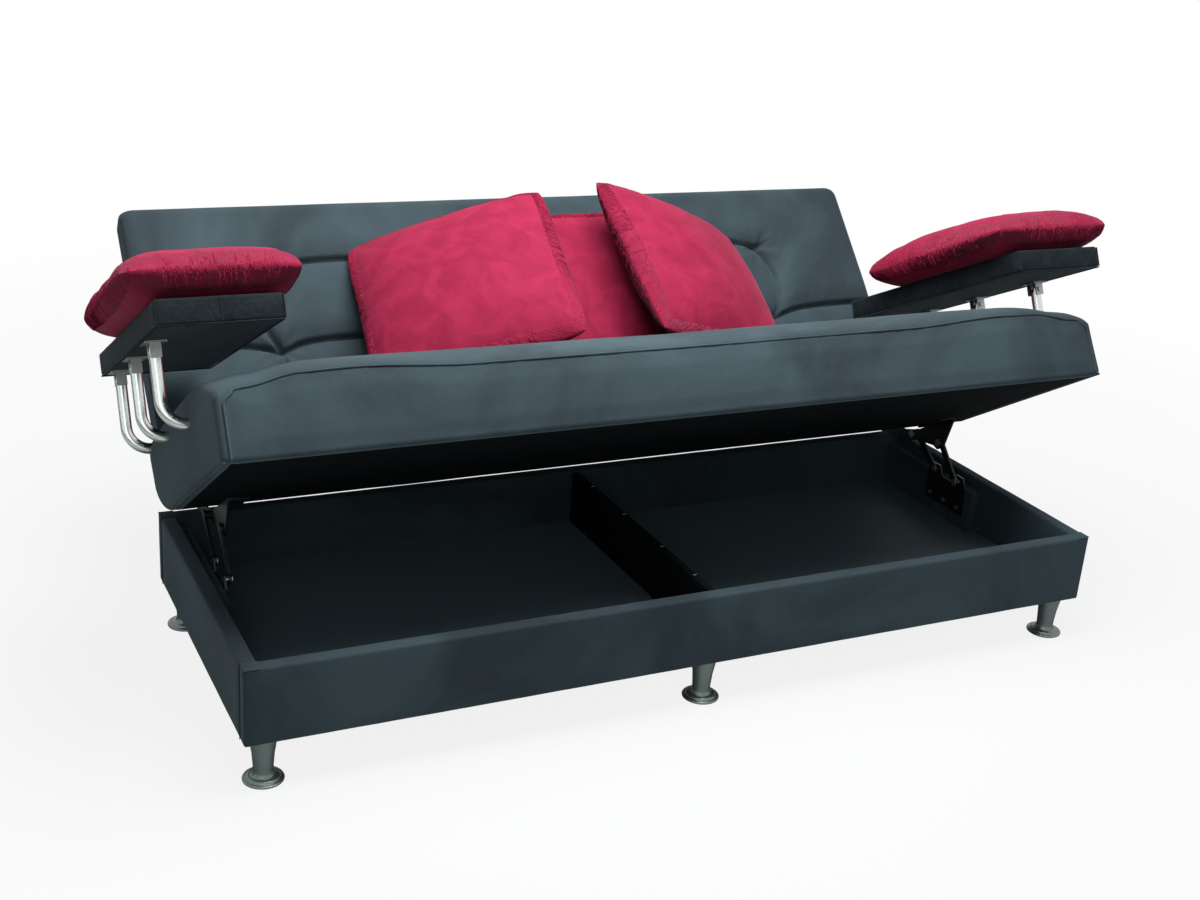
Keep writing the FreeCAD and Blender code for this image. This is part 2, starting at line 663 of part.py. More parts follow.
def recline_mechanism():
    """Seat plates with the recline drum and pivot, and the back plates that turn on them."""
    bolts, drums, pivots = [], [], []
    for name, side in SIDES:
        lugs = [seat_point(link_points(foot_name, swing_name)[2]) for _, foot_name, swing_name, _ in LINKS]
        front, rear = lugs
        number = "%.3f"
        outline = [(number % (front.y - 72), "0"), (number % (front.y - 72), "-8"),
                   (number % (front.y - 17), number % (front.z - 10)),
                   (number % (front.y - 8), number % (front.z - 14)),
                   (number % (front.y + 10), number % (front.z - 14)),
                   (number % (front.y + 20), number % (front.z - 2)),
                   (number % (rear.y - 12), number % (rear.z - 17)),
                   (number % (rear.y + 14), number % (rear.z - 14)),
                   ("recline_u - 60", "12"), ("recline_u - 30", "26"), ("recline_u", "44"),
                   ("recline_u + 24", "recline_v - 30"), ("recline_u + 30", "recline_v - 8"),
                   ("recline_u + 28", "recline_v + 12"), ("recline_u + 14", "recline_v + 26"),
                   ("recline_u - 14", "recline_v + 26"), ("recline_u - 34", "recline_v + 10"),
                   ("recline_u - 50", "recline_v - 14"), ("seat_heel_depth + 13", "seat_heel_height - 2"),
                   ("seat_heel_depth - 12", "36"), ("seat_heel_depth - 48", "12"),
                   ("seat_flat_depth + 55", "0")]
        holes = [(number % at.y, number % at.z, "pivot_bolt_radius") for at in lugs]
        holes.append(("recline_u", "recline_v", "recline_bolt_radius"))
        start = mirrored_x(side, SEAT_PLATE_IN, SEAT_PLATE_OUT)
        web = plate("seat_bracket_%s_web" % name, outline, start, "seat_plate_thick", holes)
        flange = board("seat_bracket_%s_flange" % name,
                       mirrored_x(side, SEAT_PLATE_IN - size("flange_width"), SEAT_PLATE_IN),
                       front.y - 72, -size("flange_thick"), "flange_width", "flange_length", "flange_thick")
        sub_part("seat_bracket_" + name, [fuse("seat_bracket_%s_body" % name, web, flange)], SEAT)
        for at, which in ((front, "front"), (rear, "rear")):
            shank = rod("upper_shank_%s_%s" % (which, name), V(side * SEAT_PLATE_OUT, at.y, at.z),
                        V(-side, 0, 0), size("pivot_bolt_radius"), size("seat_plate_thick"))
            head = rod("upper_head_%s_%s" % (which, name), V(side * SEAT_PLATE_IN, at.y, at.z),
                       V(-side, 0, 0), size("pivot_head_radius"), 3)
            bolts.append(fuse("upper_bolt_%s_%s" % (which, name), shank, head))
        drums.append(recline_drum(name, side))
        pivots.append(recline_bolt(name, side))
        back_bracket(name, side)
    sub_part("upper_pivot_bolts", bolts, SEAT)
    sub_part("recline_drums", drums, SEAT)
    sub_part("recline_bolts", pivots, SEAT)


def recline_drum(name, side):
    """The toothed ratchet drum fixed on the seat plate."""
    teeth = int(round(size("drum_teeth")))
    root = size("drum_radius") - size("drum_tooth_depth")
    points = []
    for tooth in range(teeth):
        start = 2 * math.pi * tooth / teeth
        points.append(V(0, root * math.cos(start), root * math.sin(start)))
        tip = start + 2 * math.pi / teeth * 0.25
        points.append(V(0, size("drum_radius") * math.cos(tip), size("drum_radius") * math.sin(tip)))
    points.append(points[0])
    disc = Part.Face(Part.makePolygon(points)).extrude(V(size("drum_thick"), 0, 0))
    bore = Part.makeCylinder(size("recline_bolt_radius"), size("drum_thick"), V(0, 0, 0), X_AXIS)
    drum = solid("recline_drum_%s_form" % name, disc.cut(bore))
    drum.Placement.Base = V(mirrored_x(side, DRUM_IN, SEAT_PLATE_IN), size("recline_u"), size("recline_v"))
    return drum


def recline_bolt(name, side):
    """The pivot bolt through seat plate, drum and back plate, headed at both ends."""
    at = lambda x: V(side * x, size("recline_u"), size("recline_v"))
    shank = rod("recline_shank_" + name, at(BACK_PLATE_IN - size("running_gap")), V(side, 0, 0),
                size("recline_bolt_radius"), SEAT_PLATE_OUT - BACK_PLATE_IN + size("running_gap"))
    inner_head = rod("recline_head_" + name, at(BACK_PLATE_IN - size("running_gap")), V(-side, 0, 0),
                     size("recline_bolt_radius") + 5, 3)
    outer_head = rod("recline_nut_" + name, at(SEAT_PLATE_OUT), V(side, 0, 0),
                     size("recline_bolt_radius") + 4, 2)
    return fuse("recline_bolt_%s_body" % name, shank, inner_head, outer_head)


def back_bracket(name, side):
    """The plate that carries the back: an ear on the pivot and an arm up the frame's side rail."""
    foam_face = "back_foam - recline_depth"
    outline = (("-28", "-10"), ("-20", "-22"), ("0", "-29"), ("20", "-22"), ("29", "-6"),
               ("back_thick - recline_depth - 5", "30"),
               ("back_thick - recline_depth - 5", "back_plate_length"),
               (foam_face + " + 3", "back_plate_length"), (foam_face + " + 3", "back_frame_start"),
               ("-14", "27"), ("-28", "12"))
    start = mirrored_x(side, BACK_PLATE_IN, BACK_PLATE_OUT)
    hole = (("0", "0", "recline_bolt_radius + pivot_clearance"),)
    sub_part("back_bracket_" + name,
             [plate("back_bracket_%s_plate" % name, outline, start, "seat_plate_thick", hole)], BACK)


def back_section(x, inset, front, rear):
    """The back's side outline at one x: depth from front to rear, foot and head rounded."""
    depth = size("recline_depth")
    low = -size("back_below_pivot") + inset * 0.4
    high = size("back_above_pivot") - inset
    point = lambda t, z: V(x, t - depth, z)
    span = rear - front
    foot, head = span * 0.3, span * 0.32
    return wire([line(point(front, low + foot), point(front, high - head)),
                 arc(point(front, high - head), point(front + head * 0.28, high - head * 0.28),
                     point(front + head, high)),
                 line(point(front + head, high), point(rear - 6, high - 8)),
                 line(point(rear - 6, high - 8), point(rear, high - 14)),
                 line(point(rear, high - 14), point(rear, low + 8)),
                 line(point(rear, low + 8), point(front + foot, low)),
                 arc(point(front + foot, low), point(front + foot * 0.3, low + foot * 0.3),
                     point(front, low + foot))])


def back():
    """Tufted back: cushion, buttons, frame with webbing, rear cloth."""
    half, draw, thick = size("back_half_width"), size("back_side_draw"), size("back_thick")
    ends = ((half, 14, thick * 0.10, thick * 0.45), (half - draw * 0.35, 4, thick * 0.03, thick * 0.8),
            (half - draw, 0, 0, thick))
    wires = [back_section(-x, inset, front, rear) for x, inset, front, rear in ends]
    wires += [back_section(x, inset, front, rear) for x, inset, front, rear in ends[::-1]]
    pad = solid("back_pad", Part.makeLoft(wires, True, True))
    depth = size("recline_depth")
    frame_half = half - draw
    tools = [board("back_pocket", "back_side_draw - back_half_width", "back_foam - recline_depth",
                   "back_frame_start", "2 * ( back_half_width - back_side_draw )",
                   "back_thick - back_foam + 10",
                   "back_above_pivot - back_frame_top_pad - back_frame_start")]
    for name, side in SIDES:
        notch = doc.addObject("Part::Box", "back_notch_" + name)
        notch.Length = SEAT_PLATE_OUT + 6 - (BACK_PLATE_IN - 5)
        notch.Width = thick + 20
        notch.Height = size("back_frame_start") + 60
        notch.Placement.Base = V(mirrored_x(side, BACK_PLATE_IN - 5, SEAT_PLATE_OUT + 6), -depth - 10, -60)
        tools.append(notch)
    top = size("back_above_pivot")
    rows = [top - size("row_one_drop"), top - size("row_two_drop")]
    reach = size("channel_radius")
    axis_y = -depth - reach + size("channel_depth")
    columns = [number * size("button_spacing") for number in (-2, -1, 0, 1, 2)]
    for index, z in enumerate(rows):
        tools.append(rod("row_channel_%d" % index, V(-frame_half + 30, axis_y, z), X_AXIS,
                         reach, 2 * frame_half - 60))
    for index, x in enumerate(columns):
        tools.append(rod("column_channel_%d" % index, V(x, axis_y, rows[1]), Z_AXIS,
                         reach, rows[0] - rows[1]))
    buttons = []
    for row, z in enumerate(rows):
        for column, x in enumerate(columns):
            seat_y = -depth + size("channel_depth") + 6
            dimple = doc.addObject("Part::Cone", "dimple_%d_%d" % (row, column))
            dimple.Radius1 = size("button_radius") + 0.01
            dimple.Radius2 = size("button_radius") + 26
            dimple.Height = size("channel_depth") + 6.0
            dimple.Placement = FreeCAD.Placement(V(x, seat_y, z), FreeCAD.Rotation(Z_AXIS, -Y_AXIS))
            tools.append(dimple)
            dome = Part.makeSphere(size("button_radius") * 1.3, V(0, 0, 0), Z_AXIS, 0, 90, 360)
            lens = dome.common(Part.makeCylinder(size("button_radius"), size("button_height") * 3))
            base = Part.makeBox(80, 80, 80, V(-40, -40, size("button_radius") * 1.3
                                             - size("button_height") - 80))
            button = solid("button_%d_%d" % (row, column), lens.cut(base))
            drop = size("button_radius") * 1.3 - size("button_height")
            button.Placement = FreeCAD.Placement(V(x, seat_y + drop, z), FreeCAD.Rotation(Z_AXIS, -Y_AXIS))
            buttons.append(button)
    sub_part("back_cushion", [cut("back_cushion_cut", pad, *tools)], BACK)
    sub_part("back_buttons", buttons, BACK)
    back_frame()


def back_frame():
    """Stiles and rails behind the foam, webbing across them, cloth over the rear."""
    inner_x = "back_side_draw - back_half_width"
    width = "2 * ( back_half_width - back_side_draw )"
    rail_y = "back_foam - recline_depth + webbing_thick"
    rail_height = "back_above_pivot - back_frame_top_pad - back_frame_start"
    head_z = "back_above_pivot - back_frame_top_pad - back_rail_width"
    stile_height = rail_height + " - 2 * back_rail_width"
    stile_z = "back_frame_start + back_rail_width"
    rails = [board("back_foot_rail", inner_x, rail_y, "back_frame_start", width,
                   "back_rail_thick", "back_rail_width"),
             board("back_head_rail", inner_x, rail_y, head_z, width,
                   "back_rail_thick", "back_rail_width")]
    stile_width = size("back_half_width") - size("back_side_draw") - BACK_PLATE_OUT
    for number in (-1, 0, 1):
        rails.append(board("back_stile_%d" % (number + 2),
                           number * BACK_PLATE_OUT / 2 - size("back_rail_width") / 2, rail_y, stile_z,
                           "back_rail_width", "back_rail_thick", stile_height))
    for name, side in SIDES:
        rails.append(board("back_end_stile_" + name,
                           mirrored_x(side, BACK_PLATE_OUT, BACK_PLATE_OUT + stile_width), rail_y,
                           stile_z, stile_width, "back_rail_thick", stile_height))
    slots = []
    for name, side in SIDES:
        slot = doc.addObject("Part::Box", "back_plate_slot_" + name)
        slot.Length = size("seat_plate_thick")
        slot.Width = size("back_rail_thick") + 20
        slot.Height = size("back_rail_width") + 1
        slot.Placement.Base = V(mirrored_x(side, BACK_PLATE_IN, BACK_PLATE_OUT), 0,
                                size("back_frame_start") - 1)
        slots.append(slot)
    foot_rail = cut("back_foot_rail_slotted", rails[0], *slots)
    sub_part("back_frame", [foot_rail] + rails[1:], BACK)
    bands = []
    count = 6
    low = size("back_frame_start") + 20
    step = (size("back_above_pivot") - size("back_frame_top_pad") - low - size("webbing_width") - 20)
    for number in range(count):
        bands.append(board("back_band_%d" % number, inner_x, "back_foam - recline_depth",
                           low + step * number / (count - 1), width, "webbing_thick", "webbing_width"))
    sub_part("back_webbing", bands, BACK)
    sub_part("back_rear_cloth",
             [board("back_cloth", inner_x, rail_y + " + back_rail_thick", "back_frame_start", width,
                    "back_cloth_thick", rail_height)], BACK)


def arm_tube(which, name, side):
    """A J tube: out of the seat's side, round the bend and up to the saddle, bored along both legs."""
    label = "arm_tube_%s_%s" % (which, name)
    body = doc.addObject("PartDesign::Body", label + "_body")
    spine = sketch_on(body, "XZ_Plane", label + "_path")
    start = size("seat_half_width") - size("seat_pad_side") - size("seat_board_thick") - size("socket_thick")
    run = size("tube_out") - size("tube_bend_radius") - start
    bend = size("tube_bend_radius")
    rise = size("tube_%s_drop" % which) - bend - size("saddle_thick") - 1
    spine.addGeometry(Part.LineSegment(V(0, 0, 0), V(run, 0, 0)))
    spine.addGeometry(Part.ArcOfCircle(Part.Circle(V(run, bend, 0), Z_AXIS, bend), -math.pi / 2, 0))
    spine.addGeometry(Part.LineSegment(V(run + bend, bend, 0), V(run + bend, bend + rise, 0)))
    spine.addConstraint(Sketcher.Constraint("Coincident", 0, 1, -1, 1))
    spine.addConstraint(Sketcher.Constraint("Horizontal", 0))
    spine.addConstraint(Sketcher.Constraint("Tangent", 0, 2, 1, 1))
    spine.addConstraint(Sketcher.Constraint("Tangent", 1, 2, 2, 1))
    spine.addConstraint(Sketcher.Constraint("Vertical", 2))
    driven(spine, Sketcher.Constraint("Radius", 1, bend), "tube_bend_radius")
    driven(spine, Sketcher.Constraint("DistanceX", 0, 1, 0, 2, run),
           "tube_out - tube_bend_radius - seat_half_width + seat_pad_side"
           " + seat_board_thick + socket_thick")
    driven(spine, Sketcher.Constraint("DistanceY", 2, 1, 2, 2, rise),
           "tube_%s_drop - tube_bend_radius - saddle_thick - 1" % which)
    ring = sketch_on(body, "YZ_Plane", label + "_ring")
    ring.addGeometry(Part.Circle(V(0, 0, 0), Z_AXIS, size("tube_diameter") / 2))
    ring.addConstraint(Sketcher.Constraint("Coincident", 0, 3, -1, 1))
    driven(ring, Sketcher.Constraint("Radius", 0, size("tube_diameter") / 2), "tube_diameter / 2")
    pipe = body.newObject("PartDesign::AdditivePipe", label + "_pipe")
    pipe.Profile = ring
    pipe.Spine = (spine, [])
    under = size("arm_top_v") - size("arm_thick")
    foot = V(side * start, size("tube_%s_u" % which), under - size("tube_%s_drop" % which))
    turn = FreeCAD.Rotation() if side > 0 else FreeCAD.Rotation(Z_AXIS, 180)
    body.Placement = FreeCAD.Placement(foot, turn)
    bolt_v = under - size("saddle_thick") - size("saddle_bolt_drop")
    hole = rod(label + "_bolt_hole", V(side * size("tube_out"), foot.y - 30, bolt_v), Y_AXIS,
               size("saddle_bolt_radius"), 60)
    bore = size("tube_diameter") / 2 - size("tube_wall")
    low_bore = rod(label + "_low_bore", foot, V(side, 0, 0), bore, run)
    top = foot + V(side * (run + bend), 0, bend + rise)
    high_bore = rod(label + "_high_bore", top, -Z_AXIS, bore, rise)
    sub_part(label, [cut(label + "_drilled", body, hole, low_bore, high_bore)], ARM)


def arms():
    """Each arm: wrapped board, three J tubes, saddles with bolts, and sockets inside the seat."""
    under = size("arm_top_v") - size("arm_thick")
    saddles, bolts, sockets = [], [], []
    for name, side in SIDES:
        outer = board("arm_board_%s_block" % name,
                      mirrored_x(side, size("arm_inner"), size("arm_outer")), "arm_front_u",
                      "arm_top_v - arm_thick", "arm_outer - arm_inner", "arm_length", "arm_thick")
        rounded = doc.addObject("Part::Fillet", "arm_board_%s_rounded" % name)
        rounded.Base = outer
        radius = size("arm_edge_radius")
        rounded.Edges = [(edge, radius, radius) for edge in range(1, 13)]
        core = board("arm_core_%s_board" % name,
                     mirrored_x(side, size("arm_inner") + size("arm_core_inset"),
                                size("arm_outer") - size("arm_core_inset")),
                     "arm_front_u + arm_core_inset", "arm_top_v - arm_thick + arm_core_inset",
                     "arm_outer - arm_inner - 2 * arm_core_inset",
                     "arm_length - 2 * arm_core_inset", "arm_core_thick")
        sub_part("arm_cover_" + name, [cut("arm_cover_%s_cut" % name, rounded, core)], ARM)
        sub_part("arm_core_" + name, [core], ARM)
        for which in ("front", "middle", "rear"):
            arm_tube(which, name, side)
            u = size("tube_%s_u" % which)
            saddles.append(saddle(which, name, side, u, under))
            reach = size("tube_diameter") / 2 + 1 + size("saddle_thick")
            bolt_v = under - size("saddle_thick") - size("saddle_bolt_drop")
            shank = rod("saddle_shank_%s_%s" % (which, name), V(side * size("tube_out"), u - reach, bolt_v),
                        Y_AXIS, size("saddle_bolt_radius"), 2 * reach)
            heads = [rod("saddle_head_%s_%s" % (which, name),
                         V(side * size("tube_out"), u + way * reach, bolt_v),
                         V(0, way, 0), size("saddle_bolt_radius") + 2.5, 3) for way in (-1, 1)]
            bolts.append(fuse("saddle_bolt_%s_%s" % (which, name), shank, *heads))
        face = size("seat_half_width") - size("seat_pad_side") - size("seat_board_thick")
        for which, at in tube_feet():
            flange = rod("socket_flange_%s_%s" % (which, name), V(side * face, at.y, at.z),
                         V(-side, 0, 0), size("socket_radius"), size("socket_thick"))
            bore = rod("socket_bore_%s_%s" % (which, name), V(side * face, at.y, at.z),
                       V(-side, 0, 0), size("tube_diameter") / 2, size("socket_thick"))
            sockets.append(cut("socket_%s_%s" % (which, name), flange, bore))
    sub_part("arm_saddles", saddles, ARM)
    sub_part("arm_saddle_bolts", bolts, ARM)
    sub_part("tube_sockets", sockets, SEAT)


def saddle(which, name, side, u, under):
    """A folded bracket under the arm board: a base and two ears on each side of the tube."""
    label = "saddle_%s_%s" % (which, name)
    x = side * size("tube_out")
    base = doc.addObject("Part::Box", label + "_base")
    bind(base, Length="saddle_width", Width="saddle_length", Height="saddle_thick")
    base.Placement.Base = V(x - size("saddle_width") / 2, u - size("saddle_length") / 2,
                            under - size("saddle_thick"))
    ears = []
    for way in (-1, 1):
        ear = doc.addObject("Part::Box", "%s_ear_%d" % (label, way + 1))
        bind(ear, Length="saddle_ear_width", Width="saddle_thick", Height="saddle_ear_drop")
        near = size("tube_diameter") / 2 + 1
        ear.Placement.Base = V(x - size("saddle_ear_width") / 2,
                               u + (near if way > 0 else -near - size("saddle_thick")),
                               under - size("saddle_thick") - size("saddle_ear_drop"))
        ears.append(ear)
    folded = fuse(label + "_folded", base, *ears)
    bolt_v = under - size("saddle_thick") - size("saddle_bolt_drop")
    hole = rod(label + "_hole", V(x, u - 30, bolt_v), Y_AXIS, size("saddle_bolt_radius"), 60)
    return cut(label + "_drilled", folded, hole)


def pillow(name, width, length, rise, sink, frame):
    """A knife-edge pillow: crowned above and below its seam, sides drawn in between the corners."""
    stations = (-1.0, -0.88, -0.55, 0.0, 0.55, 0.88, 1.0)
    seam = 3.0
    wires = []
    for share in stations:
        fullness = math.sqrt(max(0.0, 1 - abs(share) ** 2.4)) ** 0.9
        x = share * width / 2
        half = length / 2 * (1 - 0.07 * (1 - share ** 2))
        up, down = seam + rise * fullness, -seam - sink * fullness
        if fullness < 0.05:
            up, down = seam + 3, -seam - 3
        wires.append(wire([arc(V(x, -half, seam), V(x, 0, up), V(x, half, seam)),
                           line(V(x, half, seam), V(x, half, -seam)),
                           arc(V(x, half, -seam), V(x, 0, down), V(x, -half, -seam)),
                           line(V(x, -half, -seam), V(x, -half, seam))]))
    form = solid(name + "_form", Part.makeLoft(wires, True, True))
    sub_part(name, [form], frame)


def turned_frame(prefix):
    """The frame of a leaning pillow: its middle in the seat frame, turned upright, then leaned."""
    spin = FreeCAD.Rotation(X_AXIS, size("lift_angle"))
    spin = spin.multiply(FreeCAD.Rotation(Z_AXIS, size(prefix + "_turn")))
    spin = spin.multiply(FreeCAD.Rotation(X_AXIS, size(prefix + "_tilt")))
    spin = spin.multiply(FreeCAD.Rotation(Z_AXIS, size(prefix + "_roll")))
    middle = V(size(prefix + "_x"), size(prefix + "_u"), size(prefix + "_v"))
    return SEAT * FreeCAD.Placement(middle, spin)


def pillows():
    """One pillow on each arm board and three against the back."""
    arm_middle = (size("arm_inner") + size("arm_outer")) / 2
    for name, side in SIDES:
        rest = V(side * arm_middle, size("arm_front_u") + size("arm_pillow_length") / 2 - 12,
                 size("arm_top_v") + size("soft_gap") + size("arm_pillow_sink") + 3)
        pillow("arm_pillow_" + name, size("arm_pillow_width"), size("arm_pillow_length"),
               size("arm_pillow_rise"), size("arm_pillow_sink"),
               ARM * FreeCAD.Placement(rest, FreeCAD.Rotation()))
    against = V(size("middle_pillow_x"),
                -size("recline_depth") - size("soft_gap") - size("middle_pillow_rise") - 3,
                size("back_above_pivot") - size("middle_pillow_drop"))
    pillow("middle_pillow", size("throw_side"), size("throw_side"), size("middle_pillow_rise"),
           size("middle_pillow_rise"),
           BACK * FreeCAD.Placement(against, FreeCAD.Rotation(X_AXIS, 90)))
    for name, _ in SIDES:
        pillow(name + "_pillow", size("throw_side"), size("throw_side"), size("throw_half_thick"),
               size("throw_half_thick"), turned_frame(name + "_pillow"))


base_box()
feet()
lift_mechanism()
seat()
recline_mechanism()
back()
arms()
pillows()
doc.recompute()

# Every object has to be sound before anything is written
for item in doc.Objects:
    if "Invalid" in item.State or "Error" in item.State:
        raise RuntimeError("failed object: %s %s" % (item.Label, item.State))
os.makedirs("parts", exist_ok=True)
for piece in sub_parts:
    if piece.Shape.isNull() or not piece.Shape.isValid() or not piece.Shape.Solids:
        raise RuntimeError("unsound shape: " + piece.Label)
    piece.Shape.exportStep(os.path.join("parts", piece.Label + ".step"))
print(len(sub_parts), "sub-parts,", sum(len(piece.Shape.Solids) for piece in sub_parts), "solids")
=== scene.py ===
"""Dresses the frame of an open storage sofa: velvet upholstery, pillows, metalwork and studio."""

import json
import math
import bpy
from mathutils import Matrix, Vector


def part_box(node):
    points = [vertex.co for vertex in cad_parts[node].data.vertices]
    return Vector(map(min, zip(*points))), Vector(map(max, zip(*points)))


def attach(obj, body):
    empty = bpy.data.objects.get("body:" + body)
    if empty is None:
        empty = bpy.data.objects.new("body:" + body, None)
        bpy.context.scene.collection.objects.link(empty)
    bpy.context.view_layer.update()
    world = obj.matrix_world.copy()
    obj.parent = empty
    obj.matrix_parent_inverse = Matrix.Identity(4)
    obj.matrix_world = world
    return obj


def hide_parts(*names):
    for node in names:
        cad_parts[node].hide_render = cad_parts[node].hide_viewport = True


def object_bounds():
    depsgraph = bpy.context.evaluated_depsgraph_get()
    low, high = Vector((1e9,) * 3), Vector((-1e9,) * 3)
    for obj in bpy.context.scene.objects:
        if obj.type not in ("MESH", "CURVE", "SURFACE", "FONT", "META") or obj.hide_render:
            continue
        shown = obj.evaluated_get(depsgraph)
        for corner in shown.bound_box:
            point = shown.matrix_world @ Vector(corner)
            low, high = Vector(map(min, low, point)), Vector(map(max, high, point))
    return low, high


bl_info = {
    "name": "Storage sofa dressing",
    "version": (1, 0, 0),
    "blender": (4, 5, 0),
    "location": "View3D > Sidebar > Sofa",
    "description": "Upholstery, pillows, metalwork and studio for an open storage sofa",
    "category": "Object",
}

import bmesh
import bpy
from mathutils import Matrix, Vector, noise

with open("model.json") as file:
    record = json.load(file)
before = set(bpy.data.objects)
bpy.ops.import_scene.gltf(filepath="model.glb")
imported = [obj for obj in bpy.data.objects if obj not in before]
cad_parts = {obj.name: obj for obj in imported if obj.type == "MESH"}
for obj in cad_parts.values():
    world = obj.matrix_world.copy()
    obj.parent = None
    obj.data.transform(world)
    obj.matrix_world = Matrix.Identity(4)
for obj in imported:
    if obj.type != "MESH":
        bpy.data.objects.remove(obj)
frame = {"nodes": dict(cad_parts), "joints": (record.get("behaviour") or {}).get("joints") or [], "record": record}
CAD_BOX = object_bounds()
JOINTS = {joint["name"]: joint for joint in frame["joints"]}
SIDES = (("left", -1), ("right", 1))

# Frames of the lifted seat, the back and the arms, read from the joints and the box's rim
SEAT_GAP = 0.0005
BACK_LEAN = 11.3
ARM_TILT = 6.0
ARM_RISE = 0.260


def turn_x(degrees):
    return Matrix.Rotation(math.radians(degrees), 4, "X")


def shift(x=0.0, y=0.0, z=0.0):
    return Matrix.Translation((x, y, z))


OPEN_ANGLE = JOINTS["seat_lift"]["range_deg"][1]
LIFT_AT = Vector(JOINTS["seat_lift"]["pos_m"])
RECLINE_AT = Vector(JOINTS["back_recline"]["pos_m"])
FRONT_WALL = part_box("front_wall")
SEAT = (Matrix.Translation(LIFT_AT) @ turn_x(-OPEN_ANGLE) @ Matrix.Translation(-LIFT_AT)
        @ shift(0, FRONT_WALL[0].y, FRONT_WALL[1].z + SEAT_GAP))
BACK = Matrix.Translation(RECLINE_AT) @ turn_x(-OPEN_ANGLE - BACK_LEAN)
ARM = SEAT @ shift(0, 0, ARM_RISE) @ turn_x(ARM_TILT)


def metres(label, says, value):
    """A length for the sidebar panel."""
    return bpy.props.FloatProperty(name=label, description=says, default=value, unit="LENGTH")


def tint(label, says, code):
    """A colour for the sidebar panel, as sRGB hex."""
    return bpy.props.StringProperty(name=label, description=says, default=code)


class SofaSizes(bpy.types.PropertyGroup):
    """Sizes that shape the upholstery, in metres."""

    seat_half: metres("Seat half width", "Middle of the seat to its padded end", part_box("seat_cushion")[1].x)
    seat_depth: metres("Seat depth", "Front of the seat to its rear face", 0.658)
    seat_flat: metres("Flat underside", "Depth of the flat underside before the heel", 0.490)
    panel_half: metres("Front panel half width", "Middle of the seat to the front panel's end seam", 0.929)
    back_half: metres("Back half width", "Middle of the back to its end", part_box("back_cushion")[1].x)
    back_top: metres("Back above pivot", "Recline pivot to the top of the back", 0.582)
    back_low: metres("Back below pivot", "Recline pivot to the foot of the back", 0.058)
    back_front: metres("Pivot behind face", "Recline pivot behind the back's front face", 0.055)
    back_thick: metres("Back thickness", "Front face to rear cloth", 0.100)
    row_one: metres("Upper tuft row", "Top of the back to the upper row", 0.144)
    row_two: metres("Lower tuft row", "Top of the back to the lower row", 0.337)
    tuft_drop: metres("Tuft droop", "How far a channel droops towards each button", 0.024)
    tuft_outer: metres("Outer tuft column", "Middle of the back to its outer buttons", 0.625)
    tuft_inner: metres("Inner tuft column", "Middle of the back to its inner buttons", 0.300)
    tuft_depth: metres("Channel depth", "How deep a sewn channel sinks", 0.030)
    throw_side: metres("Throw pillow side", "Corner to corner along one seam", 0.445)
    piping: metres("Piping radius", "Radius of the piped seams", 0.0022)
    tube_radius: metres("Tube radius", "Outer radius of the arm tubes", 0.011)
    tube_bend: metres("Tube bend", "Radius of the arm tubes' bend", 0.045)


class SofaColours(bpy.types.PropertyGroup):
    """Colours of the finishes, written as sRGB hex."""

    # Painted light in the slate pair: the pale colour is painted sheen where the nap catches light, the deep
    # colour painted shade in the crinkles' folds, over the nap's own tone
    slate_deep: tint("Slate, nap down", "Velvet where the nap lies away", "#2a3439")
    slate_pale: tint("Slate, nap up", "Velvet where the nap catches light", "#3c4a50")
    # Painted shade: the arm pair is a darker copy of the slate velvet, standing in for shade on the arm boards;
    # its pale colour is painted sheen and its deep colour painted shade in the crinkles' folds
    arm_shade_deep: tint("Arm velvet, nap down", "Arm cover in its folds", "#0d1316")
    arm_shade_pale: tint("Arm velvet, nap up", "Arm cover where it catches light", "#20292d")
    # Painted light in the crimson pair: the pale colour is painted highlight where the crushed nap catches light,
    # the deep colour painted shade in its crinkle folds, over the nap's own tone
    red_deep: tint("Crimson, nap down", "Pillow velvet in its folds", "#7e1633")
    red_pale: tint("Crimson, nap up", "Pillow velvet where it catches light", "#912040")
    # Painted light: the lining board's colour is lifted well above its own near-black, to stand in for light
    # inside the box where the lid casts shade
    lining: tint("Lining", "Board and cloth inside the box", "#56686f")
    foot: tint("Feet", "Silver moulding", "#7a8784")
    chrome: tint("Arm tubes", "Plated steel", "#dfe7e2")
    steel: tint("Brackets", "Black lacquered steel", "#15181a")


def sizes():
    return bpy.context.scene.sofa_sizes


def colours():
    return bpy.context.scene.sofa_colours


# Materials


def linear(code):
    """An sRGB hex colour as linear RGBA."""
    values = [int(code[i:i + 2], 16) / 255 for i in (1, 3, 5)]
    return tuple(v / 12.92 if v <= 0.04045 else ((v + 0.055) / 1.055) ** 2.4 for v in values) + (1.0,)


def add_node(tree, kind, inputs=(), **settings):
    """Add a node with its settings; inputs maps a socket's name or number to a value or a link."""
    made = tree.nodes.new(kind)
    for key, value in settings.items():
        setattr(made, key, value)
    for socket, value in dict(inputs).items():
        if isinstance(value, bpy.types.NodeSocket):
            tree.links.new(value, made.inputs[socket])
        else:
            made.inputs[socket].default_value = value
    return made


def new_material(name):
    """An empty material with an output, and its tree and object coordinates."""
    material = bpy.data.materials.new(name)
    material.use_nodes = True
    tree = material.node_tree
    tree.nodes.clear()
    output = add_node(tree, "ShaderNodeOutputMaterial")
    place = add_node(tree, "ShaderNodeTexCoord").outputs["Object"]
    return material, tree, output, place


def blend_colours(tree, factor, low, high):
    mix = add_node(tree, "ShaderNodeMix", {"Factor": factor, 6: low, 7: high}, data_type="RGBA")
    return mix.outputs[2]


def spread(tree, value, low, high, to_low=0.0, to_high=1.0):
    """Stretch a pattern's middle range to 0 to 1, or to another range."""
    return add_node(tree, "ShaderNodeMapRange",
                    {"Value": value, "From Min": low, "From Max": high, "To Min": to_low, "To Max": to_high},
                    clamp=True).outputs["Result"]


